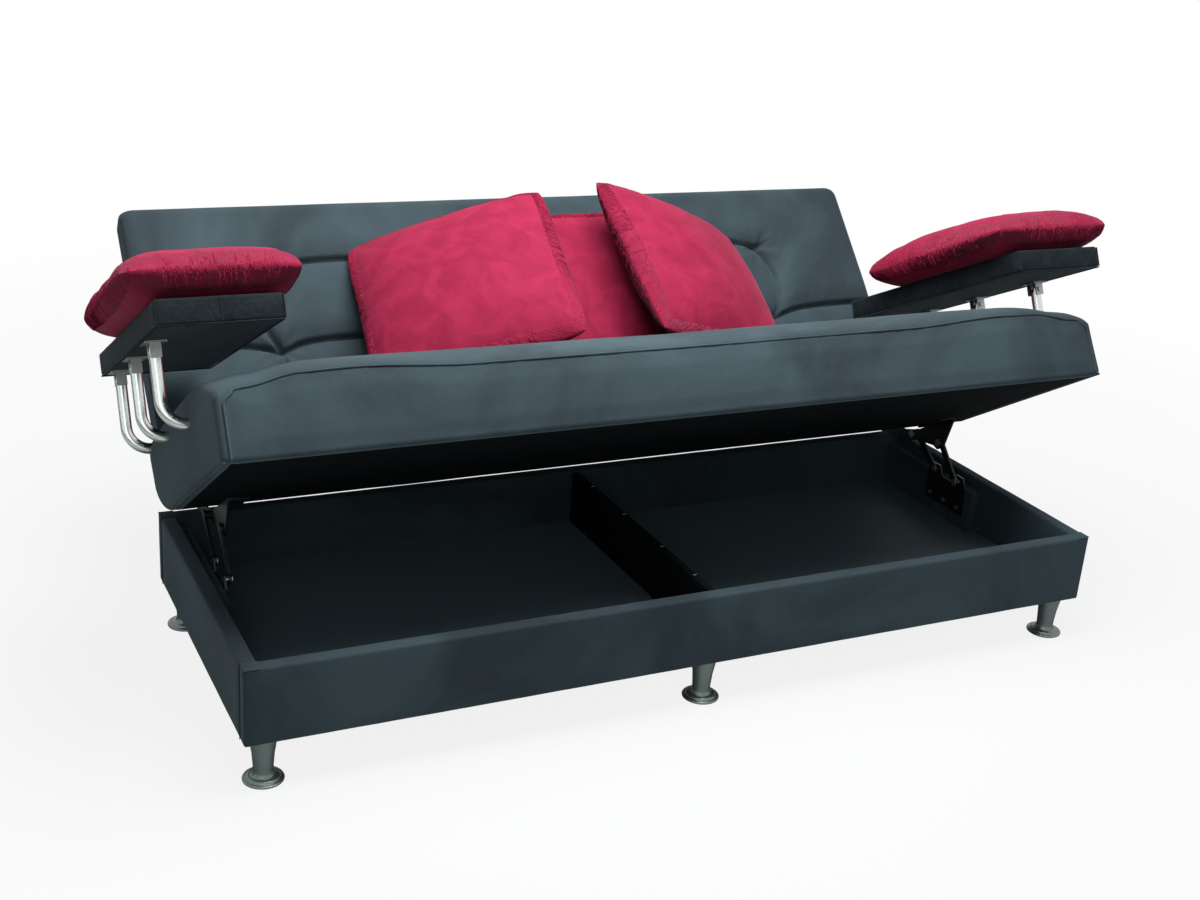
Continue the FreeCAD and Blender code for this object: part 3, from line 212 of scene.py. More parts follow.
def cloud(tree, place, scale, detail, roughness=0.5, distortion=0.0):
    """A noise pattern, from 0 to 1."""
    return add_node(tree, "ShaderNodeTexNoise",
                    {"Vector": place, "Scale": scale, "Detail": detail, "Roughness": roughness,
                     "Distortion": distortion}).outputs["Fac"]


def bump(tree, height, strength, distance, below=None):
    """A raised surface from a pattern, on top of another where one is given."""
    inputs = {"Height": height, "Strength": strength, "Distance": distance}
    if below:
        inputs["Normal"] = below
    return add_node(tree, "ShaderNodeBump", inputs).outputs["Normal"]


def shaded(material, tree, output, inputs):
    """Close a material with its shader."""
    shader = add_node(tree, "ShaderNodeBsdfPrincipled", inputs)
    tree.links.new(shader.outputs[0], output.inputs["Surface"])
    return material


# Spacing of the velvet's crinkles and of its pile, and the depth of a crinkle, in metres. The pile
# itself is 1 mm, drawn about 3 mm coarse so that it shows.
CRINKLE = 0.016
FIBRE = 0.003
CRINKLE_DEPTH = 0.0022


def velvet(name, deep, pale, nap_scale, pile, sheen, sheen_tint, crush):
    """Polyester velvet, woven and cut: a short pile that brushes light and dark in wide strokes, painted into the
    base colour as the nap's own tone with painted sheen where it is pale, and painted shade in the crinkles'
    hollows.
    """
    material, tree, output, place = new_material(name)
    nap_tone_and_sheen = spread(tree, cloud(tree, place, nap_scale, 3.0, 0.55, 1.2), 0.36, 0.66)
    crinkled = spread(tree, cloud(tree, place, 1 / CRINKLE, 4.0, 0.6, 0.8), 0.3, 0.7)
    # Painted shade: a share of the crinkle's height darkens the colour in its hollows, the same pattern that the
    # bump sinks
    nap_sheen_and_crinkle_shade = add_node(tree, "ShaderNodeMix", {"Factor": crush, 2: nap_tone_and_sheen, 3: crinkled})
    fuzz = bump(tree, cloud(tree, place, 1 / FIBRE, 2.0), 0.35, pile)
    return shaded(material, tree, output, {
        "Base Color": blend_colours(tree, nap_sheen_and_crinkle_shade.outputs[0], linear(deep), linear(pale)),
        "Roughness": 0.82, "Specular IOR Level": 0.12,
        "Sheen Weight": sheen, "Sheen Roughness": 0.38, "Sheen Tint": linear(sheen_tint),
        "Normal": bump(tree, crinkled, crush, CRINKLE_DEPTH, fuzz)})


def moulded(name, colour, metallic, roughness, grain, depth):
    """A cast, plated or lacquered surface with a fine unevenness in gloss and level."""
    material, tree, output, place = new_material(name)
    speck = cloud(tree, place, 1 / grain, 4.0)
    pale = linear(colour)
    dark = tuple(value * 0.8 for value in pale[:3]) + (1.0,)
    return shaded(material, tree, output, {
        "Base Color": blend_colours(tree, spread(tree, speck, 0.25, 0.75), dark, pale),
        "Metallic": metallic,
        "Roughness": spread(tree, speck, 0.3, 0.7, roughness * 0.75, roughness * 1.3),
        "Normal": bump(tree, speck, 0.2, depth)})


def timber(name, deep, pale):
    """Sawn pine: growth rings stretched along the board, 6 mm apart."""
    material, tree, output, place = new_material(name)
    stretched = add_node(tree, "ShaderNodeMapping", {"Vector": place, "Scale": (6.0, 60.0, 60.0)})
    rings = cloud(tree, stretched.outputs["Vector"], 2.6, 5.0, distortion=0.6)
    return shaded(material, tree, output, {
        "Base Color": blend_colours(tree, spread(tree, rings, 0.3, 0.7), linear(deep), linear(pale)),
        "Roughness": 0.7, "Normal": bump(tree, rings, 0.3, 0.0006)})


def woven(name, deep, pale, thread):
    """Plain-woven cloth: two sets of threads crossing at a real spacing."""
    material, tree, output, place = new_material(name)
    across, along = (add_node(tree, "ShaderNodeTexWave",
                              {"Vector": place, "Scale": 0.16 / thread, "Distortion": 0.4},
                              bands_direction=way).outputs["Fac"] for way in ("X", "Y"))
    weave = add_node(tree, "ShaderNodeMath", {0: across, 1: along}, operation="MULTIPLY").outputs[0]
    return shaded(material, tree, output, {
        "Base Color": blend_colours(tree, weave, linear(deep), linear(pale)),
        "Roughness": 0.9, "Specular IOR Level": 0.06, "Normal": bump(tree, weave, 0.4, thread * 0.4)})


FINISHES = {}


def make_finishes():
    """Every finish once, by the record's slot name."""
    tints = colours()
    # The velvets' deep and pale colours carry painted sheen and painted shade as well as the nap's own tone
    FINISHES["velvet"] = velvet("slate_velvet", tints.slate_deep, tints.slate_pale, 2.6, 0.0011,
                                0.35, "#8fa2aa", 0.12)
    FINISHES["box_fabric"] = FINISHES["velvet"]
    FINISHES["red_velvet"] = velvet("crushed_crimson_velvet", tints.red_deep, tints.red_pale, 13.0, 0.0012,
                                    0.24, "#e890aa", 0.20)
    # Painted shade: a darker copy of the slate velvet for the arm boards, with more crinkle shade mixed into its
    # colour
    FINISHES["arm_shaded_velvet"] = velvet("arm_shaded_crushed_velvet", tints.arm_shade_deep, tints.arm_shade_pale, 14.0, 0.0012,
                                    0.22, "#8fa2aa", 0.45)
    FINISHES["lining_cloth"] = woven("lining_cloth", "#06090b", "#0f1518", 0.0022)
    FINISHES["webbing"] = woven("elastic_webbing", "#3f3b35", "#6b655a", 0.004)
    FINISHES["wood"] = timber("sawn_pine", "#a77d4b", "#d6b27c")
    for slot, name, colour, metallic, roughness, grain, depth in (
            # The lining board's lifted colour is painted light inside the shaded box
            ("lining_board", "lining_board", tints.lining, 0.0, 0.55, 0.004, 0.0004),
            ("silver_plastic", "silver_moulding", tints.foot, 0.65, 0.36, 0.002, 0.0002),
            ("chrome", "plated_tube", tints.chrome, 1.0, 0.2, 0.006, 0.0001),
            ("bracket_steel", "black_lacquered_steel", tints.steel, 0.4, 0.42, 0.0015, 0.0002),
            ("zinc", "zinc_plated_steel", "#a9acab", 1.0, 0.38, 0.001, 0.0001)):
        FINISHES[slot] = moulded(name, colour, metallic, roughness, grain, depth)


# Mesh helpers


def as_object(name, bm):
    """A bmesh as an object in the scene."""
    mesh = bpy.data.meshes.new(name)
    bm.to_mesh(mesh)
    bm.free()
    made = bpy.data.objects.new(name, mesh)
    bpy.context.scene.collection.objects.link(made)
    return made


def piece(name, bm, body, slot, replaced=(), place=None, finish=None):
    """Turn a bmesh into a finished piece that rides on a body; its slot names its finish as a rule."""
    if place is not None:
        bmesh.ops.transform(bm, matrix=place, verts=bm.verts)
    bmesh.ops.recalc_face_normals(bm, faces=bm.faces)
    made = as_object(name, bm)
    for face in made.data.polygons:
        face.use_smooth = True
    made.data.materials.append(FINISHES[finish or slot])
    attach(made, body)
    if replaced:
        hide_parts(*replaced)
    return made


def mapped_grid(columns, rows, surface):
    """A grid whose every point is placed by surface(s, t), both from 0 to 1."""
    bm = bmesh.new()
    bmesh.ops.create_grid(bm, x_segments=columns, y_segments=rows, size=1.0)
    for vert in bm.verts:
        vert.co = surface((vert.co.x + 1) / 2, (vert.co.y + 1) / 2)
    return bm


def shaped_grid(columns, rows, surface):
    """A mapped grid with its seam and its ends closed."""
    bm = mapped_grid(columns, rows, surface)
    bmesh.ops.remove_doubles(bm, verts=bm.verts, dist=0.0002)
    open_edges = [edge for edge in bm.edges if edge.is_boundary]
    if open_edges:
        bmesh.ops.holes_fill(bm, edges=open_edges)
    return bm


def block(span, middle):
    """A plain block of a size round its middle."""
    bm = bmesh.new()
    bmesh.ops.create_cube(bm, size=1.0)
    bmesh.ops.scale(bm, vec=span, verts=bm.verts)
    bmesh.ops.translate(bm, vec=middle, verts=bm.verts)
    return bm


BOARD_STEP = 0.03
FOLD_ANGLE = 0.7


def soft_board(low, high, radius, swell=0.0, step=BOARD_STEP):
    """A board wrapped in cloth: subdivided, edges rounded, faces a little uneven."""
    span = high - low
    bm = block(span, (low + high) / 2)
    for axis in range(3):
        cuts = int(round(span[axis] / step)) - 1
        whole = [edge for edge in bm.edges
                 if abs(edge.verts[0].co[axis] - edge.verts[1].co[axis]) > 0.9 * span[axis]]
        if cuts > 0:
            bmesh.ops.subdivide_edges(bm, edges=whole, cuts=cuts, use_grid_fill=True)
    sharp = [edge for edge in bm.edges if edge.calc_face_angle(0) > FOLD_ANGLE]
    bmesh.ops.bevel(bm, geom=sharp, offset=min(radius, span[0] * 0.4, span[1] * 0.4, span[2] * 0.4),
                    segments=3, profile=0.5, affect="EDGES", material=-1)
    if swell:
        bm.normal_update()
        for vert in bm.verts:
            vert.co -= vert.normal * abs(noise.noise(vert.co * 9.0)) * swell
    return bm


def tube_along(points, radius, closed=False):
    """A round cord through points, as a mesh."""
    line = bpy.data.curves.new("line", "CURVE")
    line.dimensions = "3D"
    line.bevel_depth = radius
    line.bevel_resolution = 1
    spline = line.splines.new("POLY")
    spline.points.add(len(points) - 1)
    for at, point in zip(spline.points, points):
        at.co = (*point, 1.0)
    spline.use_cyclic_u = closed
    line.use_fill_caps = not closed
    holder = bpy.data.objects.new("line", line)
    bpy.context.scene.collection.objects.link(holder)
    bpy.context.view_layer.update()
    mesh = bpy.data.meshes.new_from_object(holder.evaluated_get(
        bpy.context.evaluated_depsgraph_get()))
    bm = bmesh.new()
    bm.from_mesh(mesh)
    bpy.data.objects.remove(holder)
    bpy.data.curves.remove(line)
    bpy.data.meshes.remove(mesh)
    return bm


def merged(*parts):
    """Several bmeshes as one."""
    whole = bmesh.new()
    for part in parts:
        mesh = bpy.data.meshes.new("part")
        part.to_mesh(mesh)
        part.free()
        whole.from_mesh(mesh)
        bpy.data.meshes.remove(mesh)
    return whole


def smooth_step(low, high, value):
    share = min(1.0, max(0.0, (value - low) / (high - low)))
    return share * share * (3 - 2 * share)


def through(table, value):
    """A smooth value from a short table of (place, value) pairs."""
    for (a, va), (b, vb) in zip(table, table[1:]):
        if value <= b:
            return va + (vb - va) * smooth_step(a, b, value)
    return table[-1][1]


def crease(distance, width, depth):
    """A sewn crease: sharp at its line, rolling out over its width."""
    share = max(0.0, 1 - abs(distance) / width)
    sharp = max(0.0, 1 - abs(distance) / (width * 0.15))
    return depth * (0.52 * share * share + 0.48 * sharp)


def loft_row(t, rows, caps, turns, half, draw):
    """One row of a skin along X: its X, how far its round end has closed, how much outline is left."""
    ends = len(caps) + turns
    row = round(t * rows)
    side = -1 if row < rows / 2 else 1
    count = row if side < 0 else rows - row
    if count < len(caps):
        return side * half, 1.0, caps[count]
    if count < ends:
        angle = (count - len(caps)) / turns * math.pi / 2
        return side * (half - draw + draw * math.cos(angle)), 1 - math.sin(angle), 1.0
    along = (row - ends) / (rows - 2 * ends)
    return (2 * along - 1) * (half - draw), 0.0, 1.0


def arc_point(start, middle, end, share):
    """A point on the quadratic that passes start, middle and end."""
    a = (1 - share) * (1 - 2 * share)
    b = 4 * share * (1 - share)
    c = share * (2 * share - 1)
    return (start[0] * a + middle[0] * b + end[0] * c, start[1] * a + middle[1] * b + end[1] * c)


# The box


CLEAT = 0.025
SEAM = 0.0012
STAPLE = 0.0006
HALF_CROWN = 0.004


class SOFA_OT_box(bpy.types.Operator):
    """Wrap the storage box's boards, fold its rim and staple its lining."""

    bl_idname = "sofa.box"
    bl_label = "Storage box"

    def execute(self, context):
        for wall in ("front_wall", "rear_wall", "left_wall", "right_wall"):
            low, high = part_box(wall)
            piece(wall + "_cover", soft_board(low, high, 0.005, 0.0008), "box", "box_fabric", [wall])
        low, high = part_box("divider")
        piece("divider_cover", soft_board(low, high, 0.003, 0.0005), "box", "lining_cloth", ["divider"])
        low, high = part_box("link_cleats")
        cleats = []
        for _, side in SIDES:
            near, far = sorted((side * (high.x - CLEAT), side * high.x))
            cleats.append(soft_board(Vector((near, low.y, low.z)), Vector((far, high.y, high.z)),
                                     0.004, 0.0006))
        piece("cleat_covers", merged(*cleats), "box", "box_fabric", ["link_cleats"])
        self.corner_folds()
        self.staples()
        return {"FINISHED"}

    def corner_folds(self):
        """Cloth folded over at each corner of the rim, and the seam below it."""
        low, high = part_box("front_wall")
        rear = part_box("rear_wall")[1].y
        thick = high.y - low.y
        folds = []
        for _, side in SIDES:
            for y, way in ((low.y, 1), (rear, -1)):
                x = side * high.x
                a, b = sorted((x, x - side * thick))
                c, d = sorted((y, y + way * thick))
                folds.append(soft_board(Vector((a, c, high.z - 0.001)), Vector((b, d, high.z + 0.0001)),
                                        0.0008))
                seam = [(x, y + way * thick, z) for z in (low.z + 0.002, high.z - 0.002)]
                folds.append(tube_along(seam, SEAM))
        piece("rim_corner_folds", merged(*folds), "box", "box_fabric")

    def staples(self):
        """Bright staples that hold the lining along the divider and the far wall."""
        wires = []
        low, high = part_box("divider")
        for share in (0.12, 0.34, 0.61, 0.86):
            y = low.y + (high.y - low.y) * share
            wires.append([(x, y, high.z + STAPLE) for x in (-HALF_CROWN, HALF_CROWN)])
        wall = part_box("right_wall")[0].x
        for share in (0.2, 0.45, 0.7, 0.9):
            y = low.y + (high.y - low.y) * share
            wires.append([(wall - STAPLE, y + run, low.z + 0.01) for run in (-HALF_CROWN, HALF_CROWN)])
        piece("lining_staples", merged(*[tube_along(wire, STAPLE) for wire in wires]), "box", "zinc")


# Radius and height of a foot's turned outline, in millimetres, from the floor up
FOOT_OUTLINE = ((0, 0), (35.0, 0), (37.0, 1.2), (37.5, 3.0), (36.6, 4.8), (33.5, 5.8), (30.6, 6.0),
                (30.2, 7.4), (29.0, 9.2), (26.0, 10.2), (21.5, 10.6), (20.2, 11.8), (19.6, 14.5),
                (18.6, 16.2), (18.0, 18.0), (18.4, 30.0), (20.4, 55.0), (25.0, 84.0), (26.0, 87.0),
                (26.0, 90.0), (0, 90.0))


class SOFA_OT_feet(bpy.types.Operator):
    """Turn the six tapered feet."""

    bl_idname = "sofa.feet"
    bl_label = "Feet"

    def execute(self, context):
        for node in ["foot_%s_%s" % (row, column) for row in ("front", "rear")
                     for column in ("left", "middle", "right")]:
            low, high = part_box(node)
            middle = (low + high) / 2
            bm = bmesh.new()
            chain = [bm.verts.new((radius / 1000, 0, height / 1000)) for radius, height in FOOT_OUTLINE]
            edges = [bm.edges.new(pair) for pair in zip(chain, chain[1:])]
            bmesh.ops.spin(bm, geom=chain + edges, cent=(0, 0, 0), axis=(0, 0, 1), angle=math.tau,
                           steps=48, use_merge=True)
            bmesh.ops.remove_doubles(bm, verts=bm.verts, dist=1e-6)
            piece(node + "_turned", bm, "box", "silver_plastic", [node], shift(middle.x, middle.y, low.z))
        return {"FINISHED"}


# The seat


CLOTH = 0.0005
HEEL_INSET = 0.013
HEEL_HEIGHT = 0.07
END_ROUND = 0.014
SEAM_WIDTH = 0.012
SEAM_DEPTH = 0.0035


def seat_levels(x):
    """Heights of the seat's front edge, crown and rear edge at one x."""
    share = abs(x) / sizes().seat_half
    front = through(((0, 0.133), (0.5, 0.134), (0.74, 0.145), (0.84, 0.143), (0.95, 0.125),
                     (1.0, 0.112)), share)
    crown = through(((0, 0.192), (0.6, 0.195), (0.8, 0.192), (0.93, 0.176), (1.0, 0.165)), share)
    rear = through(((0, 0.176), (0.8, 0.172), (1.0, 0.162)), share)
    return front, crown, rear


def seat_outline(x, share):
    """A point (u, v) on the seat's side outline, counted from the middle of its underside."""
    form = sizes()
    front, crown, rear = seat_levels(x)
    depth, flat, heel = form.seat_depth, form.seat_flat, form.seat_depth - HEEL_INSET
    legs = ((0.14, (0.25, 0), None, (flat, 0)),
            (0.22, (flat, 0), (flat + 0.0995, 0.0255), (heel, HEEL_HEIGHT)),
            (0.26, (heel, HEEL_HEIGHT), None, (depth, rear - 0.034)),
            (0.30, (depth, rear - 0.034), (depth - 0.009, rear - 0.008), (depth - 0.036, rear)),
            (0.46, (depth - 0.036, rear), (0.39, (crown + rear) / 2 + 0.006), (0.15, crown)),
            (0.62, (0.15, crown), (0.05, front + (crown - front) * 0.60), (0.003, front + 0.004)),
            (0.63, (0.003, front + 0.004), (0.0004, front + 0.001), (0, front - 0.004)),
            (0.85, (0, front - 0.004), None, (0, 0.008)),
            (0.87, (0, 0.008), (0.0023, 0.0023), (0.008, 0)),
            (1.0, (0.008, 0), None, (0.25, 0)))
    begin = 0.0
    for end, start, middle, stop in legs:
        if share <= end or end == 1.0:
            along = (share - begin) / (end - begin)
            if middle is None:
                return (start[0] + (stop[0] - start[0]) * along, start[1] + (stop[1] - start[1]) * along)
            return arc_point(start, middle, stop, along)
        begin = end


def seat_dents(x, u, v):
    """How far the seat's skin moves in at a point: seam grooves, puckers and softness."""
    form = sizes()
    front = seat_levels(x)[0]
    sink = 0.0
    if u < 0.05:
        to_top = abs(v - front) + max(0.0, abs(x) - form.panel_half) * 2
        sink += crease(to_top, SEAM_WIDTH, SEAM_DEPTH)
        if v < front:
            to_end = abs(abs(x) - form.panel_half)
            sink += crease(to_end, SEAM_WIDTH, SEAM_DEPTH)
            sink -= 0.004 * smooth_step(0.0, 0.04, min(to_end, front - v, v)) * (abs(x) < form.panel_half)
        pucker = noise.noise(Vector((x * 42, v * 9, u * 9)))
        sink += 0.0012 * pucker * math.exp(-((v - front) / 0.02) ** 2)
    sink += 0.0014 * noise.noise(Vector((x * 5.0, u * 5.0, v * 5.0)))
    return sink


class SOFA_OT_seat(bpy.types.Operator):
    """Upholster the seat, pipe its seams and cover its underside."""

    bl_idname = "sofa.seat"
    bl_label = "Seat"

    def execute(self, context):
        piece("seat_upholstery", self.cushion(), "seat", "velvet", ["seat_cushion"], SEAT)
        piece("seat_piping", self.piping(), "seat", "velvet", (), SEAT)
        piece("seat_underside_lining", self.underside(), "seat", "lining_cloth",
              ["seat_underside_cloth"], SEAT)
        return {"FINISHED"}

    def cushion(self):
        """One closed skin: the side outline carried along X, rounded in and closed at both ends."""
        half = sizes().seat_half
        caps = (0.10, 0.3, 0.55, 0.8)
        turns = 5
        rows = 150 + 2 * (len(caps) + turns)

        def surface(s, t):
            x, closing, keep = loft_row(t, rows, caps, turns, half, END_ROUND)
            inset = END_ROUND * closing if keep == 1 else 0.0
            if keep < 1:
                x = math.copysign(half - 0.0005 + 0.004 * (1 - keep), x)
            u, v = seat_outline(x, s)
            sink = seat_dents(x, u, v)
            core_u = min(0.56, max(0.09, u))
            core_v = 0.075 + 0.035 * smooth_step(0.0, 0.6, core_u)
            out = Vector((0, u - core_u, v - core_v))
            reach = out.length
            moved = out * (keep * max(0.0, 1 - (sink + inset) / max(reach, 0.01)))
            return Vector((x, core_u + moved.y, max(0.0004, core_v + moved.z)))

        return shaped_grid(230, rows, surface)

    def piping(self):
        """Piped seams: round the front panel and along the underside of each end."""
        form = sizes()
        inset = form.panel_half
        count = 120
        top = [(x, 0.001, seat_levels(x)[0] - 0.001)
               for x in [(-1 + 2 * i / count) * (inset - 0.02) for i in range(count + 1)]]
        corner = []
        for _, side in SIDES:
            front = seat_levels(side * inset)[0]
            bend = [(side * (inset - 0.02 + 0.02 * math.sin(a)), 0.0, front - 0.021 + 0.02 * math.cos(a))
                    for a in [i * math.pi / 12 for i in range(1, 7)]]
            down = [(side * inset, -0.0005, v) for v in (front * 0.6, front * 0.3, 0.004)]
            corner.append(bend + down)
        path = corner[0][::-1] + top + corner[1]
        cords = [tube_along(path, form.piping)]
        for _, side in SIDES:
            x = side * (form.seat_half - 0.004)
            under = [(x, 0.004 + (form.seat_flat - 0.004) * i / 20, 0.002) for i in range(21)]
            heel = [(x, *arc_point((form.seat_flat, 0.002), (form.seat_flat + 0.099, 0.028),
                                   (form.seat_depth - 0.015, 0.072), i / 10)) for i in range(1, 11)]
            cords.append(tube_along(under + heel, form.piping))
        return merged(*cords)

    def underside(self):
        """Dust cloth stapled under the frame, sagging a little and creased at its edges."""
        low, high = Vector((-0.925, 0.022)), Vector((0.925, 0.49))

        def surface(s, t):
            x = low.x + (high.x - low.x) * s
            u = low.y + (high.y - low.y) * t
            wrinkle = noise.noise(Vector((x * 7, u * 16, 0.4)))
            wrinkle += 0.5 * noise.noise(Vector((x * 22, u * 9, 2)))
            inside = smooth_step(0.036, 0.09, u) * smooth_step(0.036, 0.09, 0.90 - abs(x))
            inside *= smooth_step(0.0, 0.05, high.y - u)
            return Vector((x, u, 0.0007 - (0.0024 + 0.0022 * wrinkle) * inside))

        bm = mapped_grid(140, 40, surface)
        bmesh.ops.solidify(bm, geom=bm.faces, thickness=CLOTH)
        return bm


# The back


# Width of a sewn channel, its outward bow between the rows, and width and depth of the pleat above
CHANNEL = 0.058
BOW = 0.030
PLEAT_WIDTH = 0.014
PLEAT_DEPTH = 0.004
BUTTON = 0.010


def tuft_columns():
    form = sizes()
    return -form.tuft_outer, -form.tuft_inner, 0.0, form.tuft_inner, form.tuft_outer


def tuft_sink(x, drop):
    """How deep the tufted face sinks at x and a distance below its top."""
    form = sizes()
    top = form.row_one + form.tuft_drop
    low = form.row_two + form.tuft_drop
    near = min(tuft_columns(), key=lambda column: abs(x - column))
    between = math.sin(math.pi * min(1.0, max(0.0, (drop - top) / (low - top))))
    bulge = math.copysign(BOW * between, near) if near else 0.0
    away = abs(x - near)
    aside = abs(x - near - bulge)
    droop = form.tuft_drop * math.exp(-(away / 0.045) ** 1.3)
    sink = 0.0
    outside = max(0.0, abs(x) - form.tuft_outer)
    for line, fade in ((form.row_one, math.exp(-(outside / 0.03) ** 2)), (form.row_two, 1.0)):
        if line == form.row_two and outside > 0:
            droop = form.tuft_drop * math.exp(-(away / 0.06) ** 1.3)
        sink = max(sink, crease(drop - line - droop, CHANNEL, form.tuft_depth) * fade)
    if top - 0.01 < drop:
        fade = 1.0 if drop < low else max(0.0, 1 - (drop - low) / 0.16) * 0.55
        sink = max(sink, crease(aside, CHANNEL, form.tuft_depth) * fade)
    if drop < top:
        fade = smooth_step(0.02, 0.07, drop) * 0.35 + 0.65 * smooth_step(top - 0.05, top, drop)
        sink = max(sink, crease(away, PLEAT_WIDTH, PLEAT_DEPTH) * fade)
    for line in (top, low):
        reach = math.hypot(x - near, drop - line)
        sink += 0.012 * math.exp(-reach / 0.016)
        angle = math.atan2(drop - line, x - near)
        sink += 0.0022 * math.cos(7 * angle + near * 9) * math.exp(-((reach - 0.035) / 0.025) ** 2)
    return sink


class SOFA_OT_back(bpy.types.Operator):
    """Upholster the tufted back, with its buttons and end piping."""

    bl_idname = "sofa.back"
    bl_label = "Back"

    def execute(self, context):
        cushion = piece("back_upholstery", self.cushion(), "back", "velvet", ["back_cushion"], BACK)
        self.cut_notches(cushion)
        piece("back_tuft_buttons", self.buttons(), "back", "velvet", ["back_buttons"], BACK)
        piece("back_piping", self.piping(), "back", "velvet", (), BACK)
        return {"FINISHED"}

    def cushion(self):
        form = sizes()
        front, rear = -form.back_front, form.back_thick - form.back_front
        top, low = form.back_top, -form.back_low
        half = form.back_half

        def outline(s, inset):
            """The side outline from the foot of the front face up, over the top and down the rear."""
            high = top - inset
            foot, head, hem, edge, brim = 0.046, 0.026, 0.002, 0.01, 0.016
            if s < 0.72:
                return front, low + foot + (high - head - low - foot) * s / 0.72
            if s < 0.76:
                angle = (s - 0.72) / 0.04 * math.pi / 2
                return front + head * (1 - math.cos(angle)), high - head + head * math.sin(angle)
            if s < 0.79:
                share = (s - 0.76) / 0.03
                return front + head + (rear - edge - front - head) * share, high - 0.006 * share
            if s < 0.81:
                angle = (s - 0.79) / 0.02 * math.pi / 2
                return rear - edge + edge * math.sin(angle), high - brim + edge * math.cos(angle)
            if s < 0.93:
                share = (s - 0.81) / 0.12
                return rear, high - brim + (low + hem - high + brim) * share
            if s < 0.95:
                share = (s - 0.93) / 0.02
                return rear - hem * share, low + hem * (1 - share)
            share = (s - 0.95) / 0.05
            if share < 0.5:
                return rear - hem + (front + foot - rear + hem) * share * 2, low
            angle = (share - 0.5) * 2 * math.pi / 2
            return front + foot * (1 - math.sin(angle)), low + foot * (1 - math.cos(angle))

        caps = (0.12, 0.45, 0.8)
        turns = 6
        rows = 390 + 2 * (len(caps) + turns)

        def surface(s, t):
            x, closing, keep = loft_row(t, rows, caps, turns, half, 0.030)
            if keep < 1:
                x = math.copysign(half - 0.0004, x)
            y, z = outline(s, 0.012 * closing)
            if s < 0.76:
                fade = smooth_step(0.0, 0.06, s) * (1 - closing)
                y += tuft_sink(x, top - z) * fade * (1 - smooth_step(0.71, 0.75, s)) - 0.007 * fade
                y += 0.0012 * noise.noise(Vector((x * 6, z * 6, 0.3))) * fade
            # the ends narrow from the front and the rear towards the middle of the thickness
            waist = front + (rear - front) * 0.30
            y = waist + (y - waist) * (1 - 0.62 * closing * (0.35 if y < waist else 1.0))
            if keep < 1:
                core = 0.5 * (top + low)
                y = waist + (y - waist) * keep
                z = core + (z - core) * (0.97 + 0.03 * keep)
            return Vector((x, y, z))

        return shaped_grid(236, rows, surface)

    def cut_notches(self, cushion):
        """Slots at the foot of the back for the plates that it turns on."""
        for name, side in SIDES:
            low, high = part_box("seat_bracket_" + name)
            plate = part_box("back_bracket_" + name)
            near = min(abs(plate[0].x), abs(plate[1].x)) - 0.005
            far = max(abs(low.x), abs(high.x)) + 0.003
            span = sorted((side * near, side * far))
            bm = block((span[1] - span[0], 0.16, 0.16), ((span[0] + span[1]) / 2, -0.005, -0.012))
            bmesh.ops.transform(bm, matrix=BACK, verts=bm.verts)
            cutter = as_object("notch_" + name, bm)
            slot = cushion.modifiers.new("notch", "BOOLEAN")
            slot.operation = "DIFFERENCE"
            slot.solver = "EXACT"
            slot.object = cutter
            bake(cushion)
            bpy.data.objects.remove(cutter)

    def buttons(self):
        """Covered buttons, small domes drawn deep into the tufts."""
        form = sizes()
        domes = []
        for line in (form.row_one, form.row_two):
            drop = line + form.tuft_drop
            for x in tuft_columns():
                sunk = -form.back_front + tuft_sink(x, drop) - 0.008
                bm = bmesh.new()
                bmesh.ops.create_uvsphere(bm, u_segments=20, v_segments=12, radius=BUTTON)
                bmesh.ops.scale(bm, vec=(1, 0.55, 1), verts=bm.verts)
                bmesh.ops.translate(bm, vec=(x, sunk, form.back_top - drop), verts=bm.verts)
                domes.append(bm)
        return merged(*domes)

    def piping(self):
        """The piped edge where the front panel meets each end."""
        form = sizes()
        cords = []
        for _, side in SIDES:
            x = side * (form.back_half - 0.016)
            y = -form.back_front + 0.004
            line = [(x, y, 0.06 + (form.back_top - 0.03 - 0.06) * i / 24) for i in range(25)]
            over = [(x, y + 0.02 * (1 - math.cos(a)), form.back_top - 0.03 + 0.022 * math.sin(a))
                    for a in [i * math.pi / 16 for i in range(1, 9)]]
            cords.append(tube_along(line + over, form.piping * 0.8))
        return merged(*cords)


def bake(thing):
    """Apply a piece's modifiers into its mesh."""
    graph = bpy.context.evaluated_depsgraph_get()
    graph.update()
    finished = bpy.data.meshes.new_from_object(thing.evaluated_get(graph))
    old = thing.data
    thing.modifiers.clear()
    thing.data = finished
    bpy.data.meshes.remove(old)


# The arms


# The arm board's front, rear, underside and top, in the arm's frame
BOARD_FRONT, BOARD_REAR = 0.0126, 0.6476
BOARD_UNDER, BOARD_TOP = -0.0214, 0.025
# Where each tube stands behind the seat's front, and how far it drops below the board
TUBE_FEET = {"front": (0.196, 0.149), "middle": (0.403, 0.1527), "rear": (0.5845, 0.1577)}
TUBE_START, TUBE_OUT = 0.905, 0.990
TUBE_TOP = -0.0254
TUBE_WALL = 0.0015
NOTCH_DEPTH = 0.012


